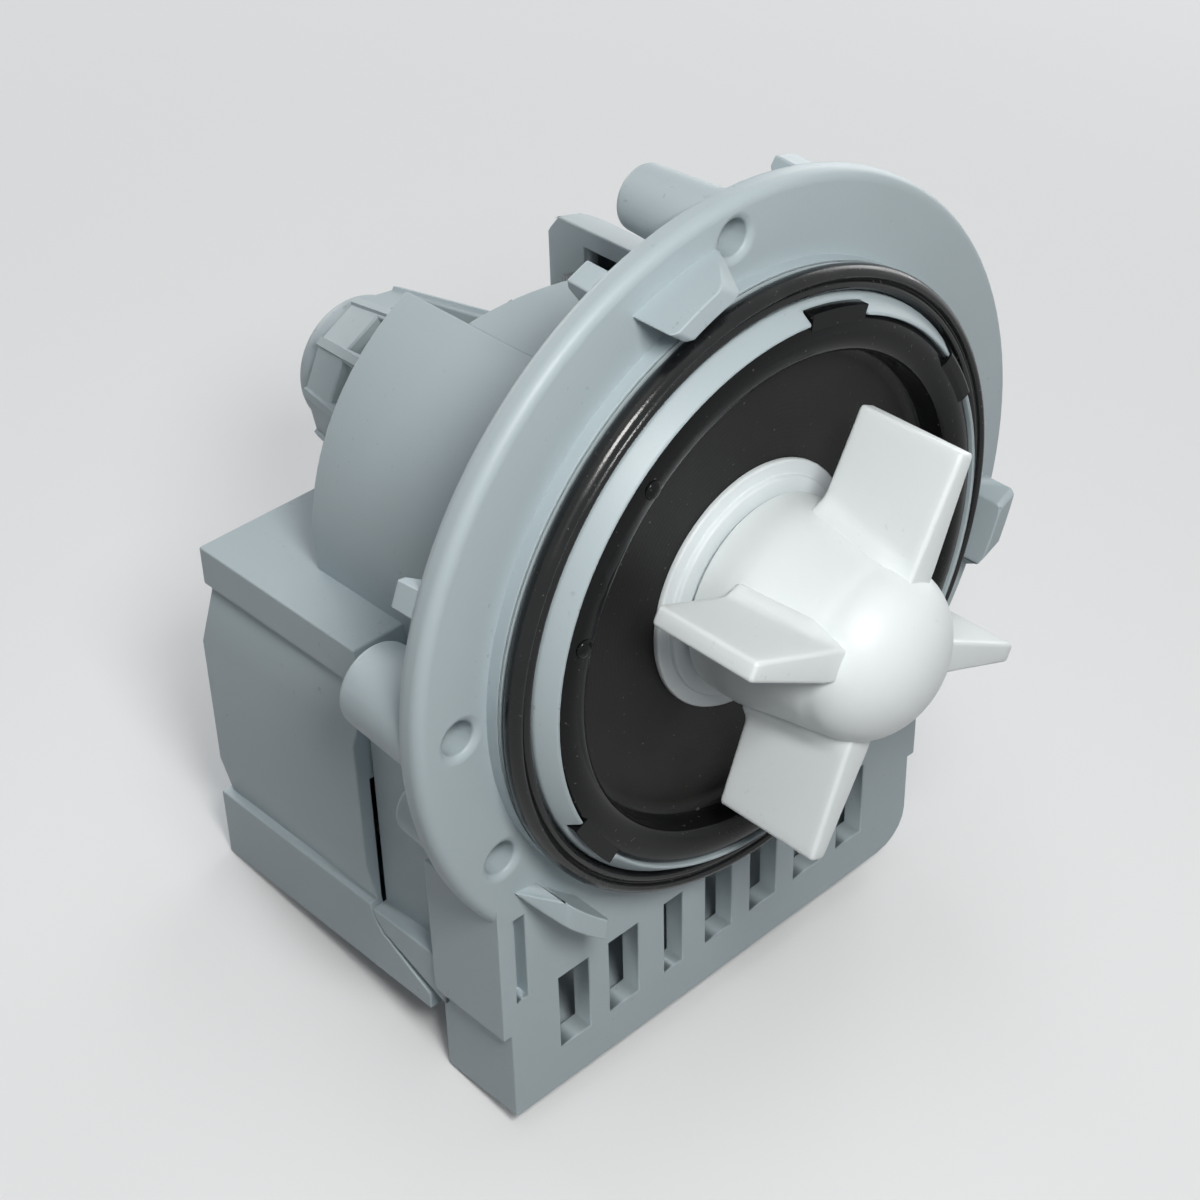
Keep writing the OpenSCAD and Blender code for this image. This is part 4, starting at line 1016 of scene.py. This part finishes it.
def coil_path(low, high, inset):
    """The bends of a turn inside a winding's box: the middle of the bend and the way out of it."""
    inset += COIL_BEND
    x0, y0 = low.x / MM + inset, low.y / MM + inset
    x1, y1 = high.x / MM - inset, high.y / MM - inset
    steps = 5
    path = []
    for x, y, a0 in ((x1, y1, 0), (x0, y1, 90), (x0, y0, 180), (x1, y0, 270)):
        for i in range(steps + 1):
            a = math.radians(a0 + 90 * i / steps)
            path.append((x, y, math.cos(a), math.sin(a)))
    return path


def coil_skin(bm, path, section):
    """A closed section of points (out of the bend, z) carried along a turn's path."""
    rows = [[(x + c * out, y + s * out, z) for out, z in section] for x, y, c, s in path]
    skin(bm, rows, wrap_rows=True, wrap_points=True)


class PUMP_OT_windings(bpy.types.Operator):
    """Wind the two coils with turns of lacquered wire"""
    bl_idname = "pump.windings"
    bl_label = "Windings"

    def execute(self, context):
        wire = context.scene.pump_sizes.wire / MM
        half = wire / 2
        tree = stacked_turns()
        for node in ("left_winding", "right_winding"):
            low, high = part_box(node)
            bottom, top = low.z / MM, high.z / MM
            path = coil_path(low, high, half)
            angles = [TAU * k / 8 for k in range(8)]
            turn = bmesh.new()
            coil_skin(turn, path, [(COIL_BEND + half * math.cos(a), bottom + half + half * math.sin(a))
                                   for a in angles])
            tall = (high.z - low.z) / MM
            turns = int(tall / (wire * TURN_PITCH))
            wound = run_tree(tree, mesh_of(turn, "turn", 80), Count=turns,
                             Pitch=(tall - wire) / (turns - 1) * MM, Finish=FINISH["copper_winding"])
            out, inn = COIL_BEND - wire * TURN_GAP, COIL_BEND - COIL_DEPTH
            z0, z1 = bottom + COIL_END_GAP, top - COIL_END_GAP
            bm = bmesh.new()
            coil_skin(bm, path, [(out, z0), (out, z1), (inn, z1), (inn, z0)])
            bm.from_mesh(wound)
            dress(bm, node, "copper_winding", "housing", 80)
        return {"FINISHED"}


def floor_finish(base):
    """A pale floor that keeps the shadow, stays dark under the pump and fades far away."""
    f = Finish("studio_floor")
    shown = f.shown()
    off = f.make("ShaderNodeVectorMath", {"operation": "DISTANCE"}, {0: f.place, 1: FOOTPRINT_MIDDLE},
                 "Value")
    clear_of_pump = off.between(0.03, 0.075)
    far_away = off.between(0.14, 0.55)
    share = clear_of_pump * 0.45 + far_away * 0.55
    cloud = f.mix(f.noise(160, 2), shade(base, 0.985), shade(base, 1.01))
    lit = f.make("ShaderNodeBsdfDiffuse", {}, {"Color": f.mix(shown, shade(base, 0.3), cloud)})
    pale = f.make("ShaderNodeEmission", {}, {"Color": (*base, 1.0), "Strength": 1.0})
    f.make_output(f.make("ShaderNodeMixShader", {}, {0: shown * share, 1: lit, 2: pale}))
    return f.owner


def world_finish(base):
    """Surroundings that look as pale as the floor and give only a little light."""
    f = Finish("studio", "worlds")
    light = f.make("ShaderNodeBackground", {}, {"Color": (*WORLD_TINT, 1.0), "Strength": WORLD_STRENGTH})
    pale = f.make("ShaderNodeBackground", {}, {"Color": (*base, 1.0), "Strength": 1.0})
    both = f.make("ShaderNodeMixShader", {}, {0: f.shown(), 1: light, 2: pale})
    f.make_output(both, "ShaderNodeOutputWorld")
    return f.owner


def add_floor(scene):
    """A floor tilted to touch the rear edge of the foot and the rear edge of the skirt."""
    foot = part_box("front_housing")[0]
    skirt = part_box("coil_cover")[0]
    front = Vector((0, FOOT_EDGE_Y * MM, foot.z))
    back = Vector((0, SKIRT_EDGE_Y * MM, skirt.z))
    slope = (back - front).normalized()
    up = Vector((1, 0, 0)).cross(slope)
    corners = [front + Vector((sx * FLOOR_HALF, 0, 0)) + slope * sy * FLOOR_HALF - up * FLOOR_GAP
               for sx, sy in ((-1, -1), (1, -1), (1, 1), (-1, 1))]
    bm = bmesh.new()
    bm.faces.new([bm.verts.new(c) for c in corners])
    mesh = bpy.data.meshes.new("floor")
    bm.to_mesh(mesh)
    bm.free()
    mesh.materials.append(floor_finish(tuple(scene.pump_colours.floor)))
    floor = bpy.data.objects.new("floor", mesh)
    scene.collection.objects.link(floor)


def add_lamp(scene, name, location, power, width, tint):
    """A round soft lamp that points at the pump."""
    data = bpy.data.lights.new(name, "AREA")
    data.shape = "DISK"
    data.energy = power
    data.size = width
    data.color = tint
    lamp = bpy.data.objects.new(name, data)
    lamp.location = location
    lamp.rotation_euler = (Vector(LAMP_AIM) - lamp.location).to_track_quat("-Z", "Y").to_euler()
    scene.collection.objects.link(lamp)


def add_camera(scene):
    """The camera, at the view of the photograph."""
    turn, height, roll = (math.radians(a) for a in (CAMERA_TURN, CAMERA_HEIGHT, CAMERA_ROLL))
    flat = math.cos(height)
    behind = Vector((math.sin(turn) * flat, -math.cos(turn) * flat, math.sin(height)))
    right = Vector((math.cos(turn), math.sin(turn), 0))
    above = behind.cross(right)
    turned = right * math.cos(roll) + above * math.sin(roll)
    raised = above * math.cos(roll) - right * math.sin(roll)
    axes = Matrix((turned, raised, behind)).transposed().to_4x4()
    data = bpy.data.cameras.new("photo_camera")
    data.sensor_width = CAMERA_SENSOR
    data.lens = CAMERA_LENS
    data.clip_start = CAMERA_NEAR
    camera = bpy.data.objects.new("photo_camera", data)
    scene.collection.objects.link(camera)
    camera.matrix_world = Matrix.Translation(Vector(CAMERA_PLACE) * MM) @ axes
    scene.camera = camera


class PUMP_OT_stage(bpy.types.Operator):
    """Set the pump on a plain floor with soft lamps and the camera"""
    bl_idname = "pump.stage"
    bl_label = "Stage"

    def execute(self, context):
        scene = context.scene
        add_floor(scene)
        for name, location, power, width, tint in LAMPS:
            add_lamp(scene, name, location, power, width, tint)
        scene.world = world_finish(tuple(scene.pump_colours.floor))
        add_camera(scene)
        scene.view_settings.view_transform = "Standard"
        return {"FINISHED"}


STEPS = (PUMP_OT_finishes, PUMP_OT_shells, PUMP_OT_fan_cover, PUMP_OT_seal, PUMP_OT_cover,
         PUMP_OT_collar, PUMP_OT_impeller, PUMP_OT_fan, PUMP_OT_windings, PUMP_OT_stage)


class PUMP_PT_panel(bpy.types.Panel):
    """The pump's colours, sizes and steps"""
    bl_label = "Drain Pump"
    bl_idname = "PUMP_PT_panel"
    bl_space_type = "VIEW_3D"
    bl_region_type = "UI"
    bl_category = "Drain Pump"

    def draw(self, context):
        for group in (context.scene.pump_colours, context.scene.pump_sizes):
            box = self.layout.box()
            for key in group.__annotations__:
                box.prop(group, key)
        for step in STEPS:
            self.layout.operator(step.bl_idname)


CLASSES = (PumpColours, PumpSizes, *STEPS, PUMP_PT_panel)


def register():
    for item in CLASSES:
        bpy.utils.register_class(item)
    bpy.types.Scene.pump_colours = PointerProperty(type=PumpColours)
    bpy.types.Scene.pump_sizes = PointerProperty(type=PumpSizes)


def unregister():
    del bpy.types.Scene.pump_sizes
    del bpy.types.Scene.pump_colours
    for item in reversed(CLASSES):
        bpy.utils.unregister_class(item)


def main():
    register()
    bpy.ops.pump.finishes()
    bpy.ops.pump.shells()
    bpy.ops.pump.fan_cover()
    bpy.ops.pump.seal()
    bpy.ops.pump.cover()
    bpy.ops.pump.collar()
    bpy.ops.pump.impeller()
    bpy.ops.pump.fan()
    bpy.ops.pump.windings()
    bpy.ops.pump.stage()


if __name__ == "__main__":
    main()
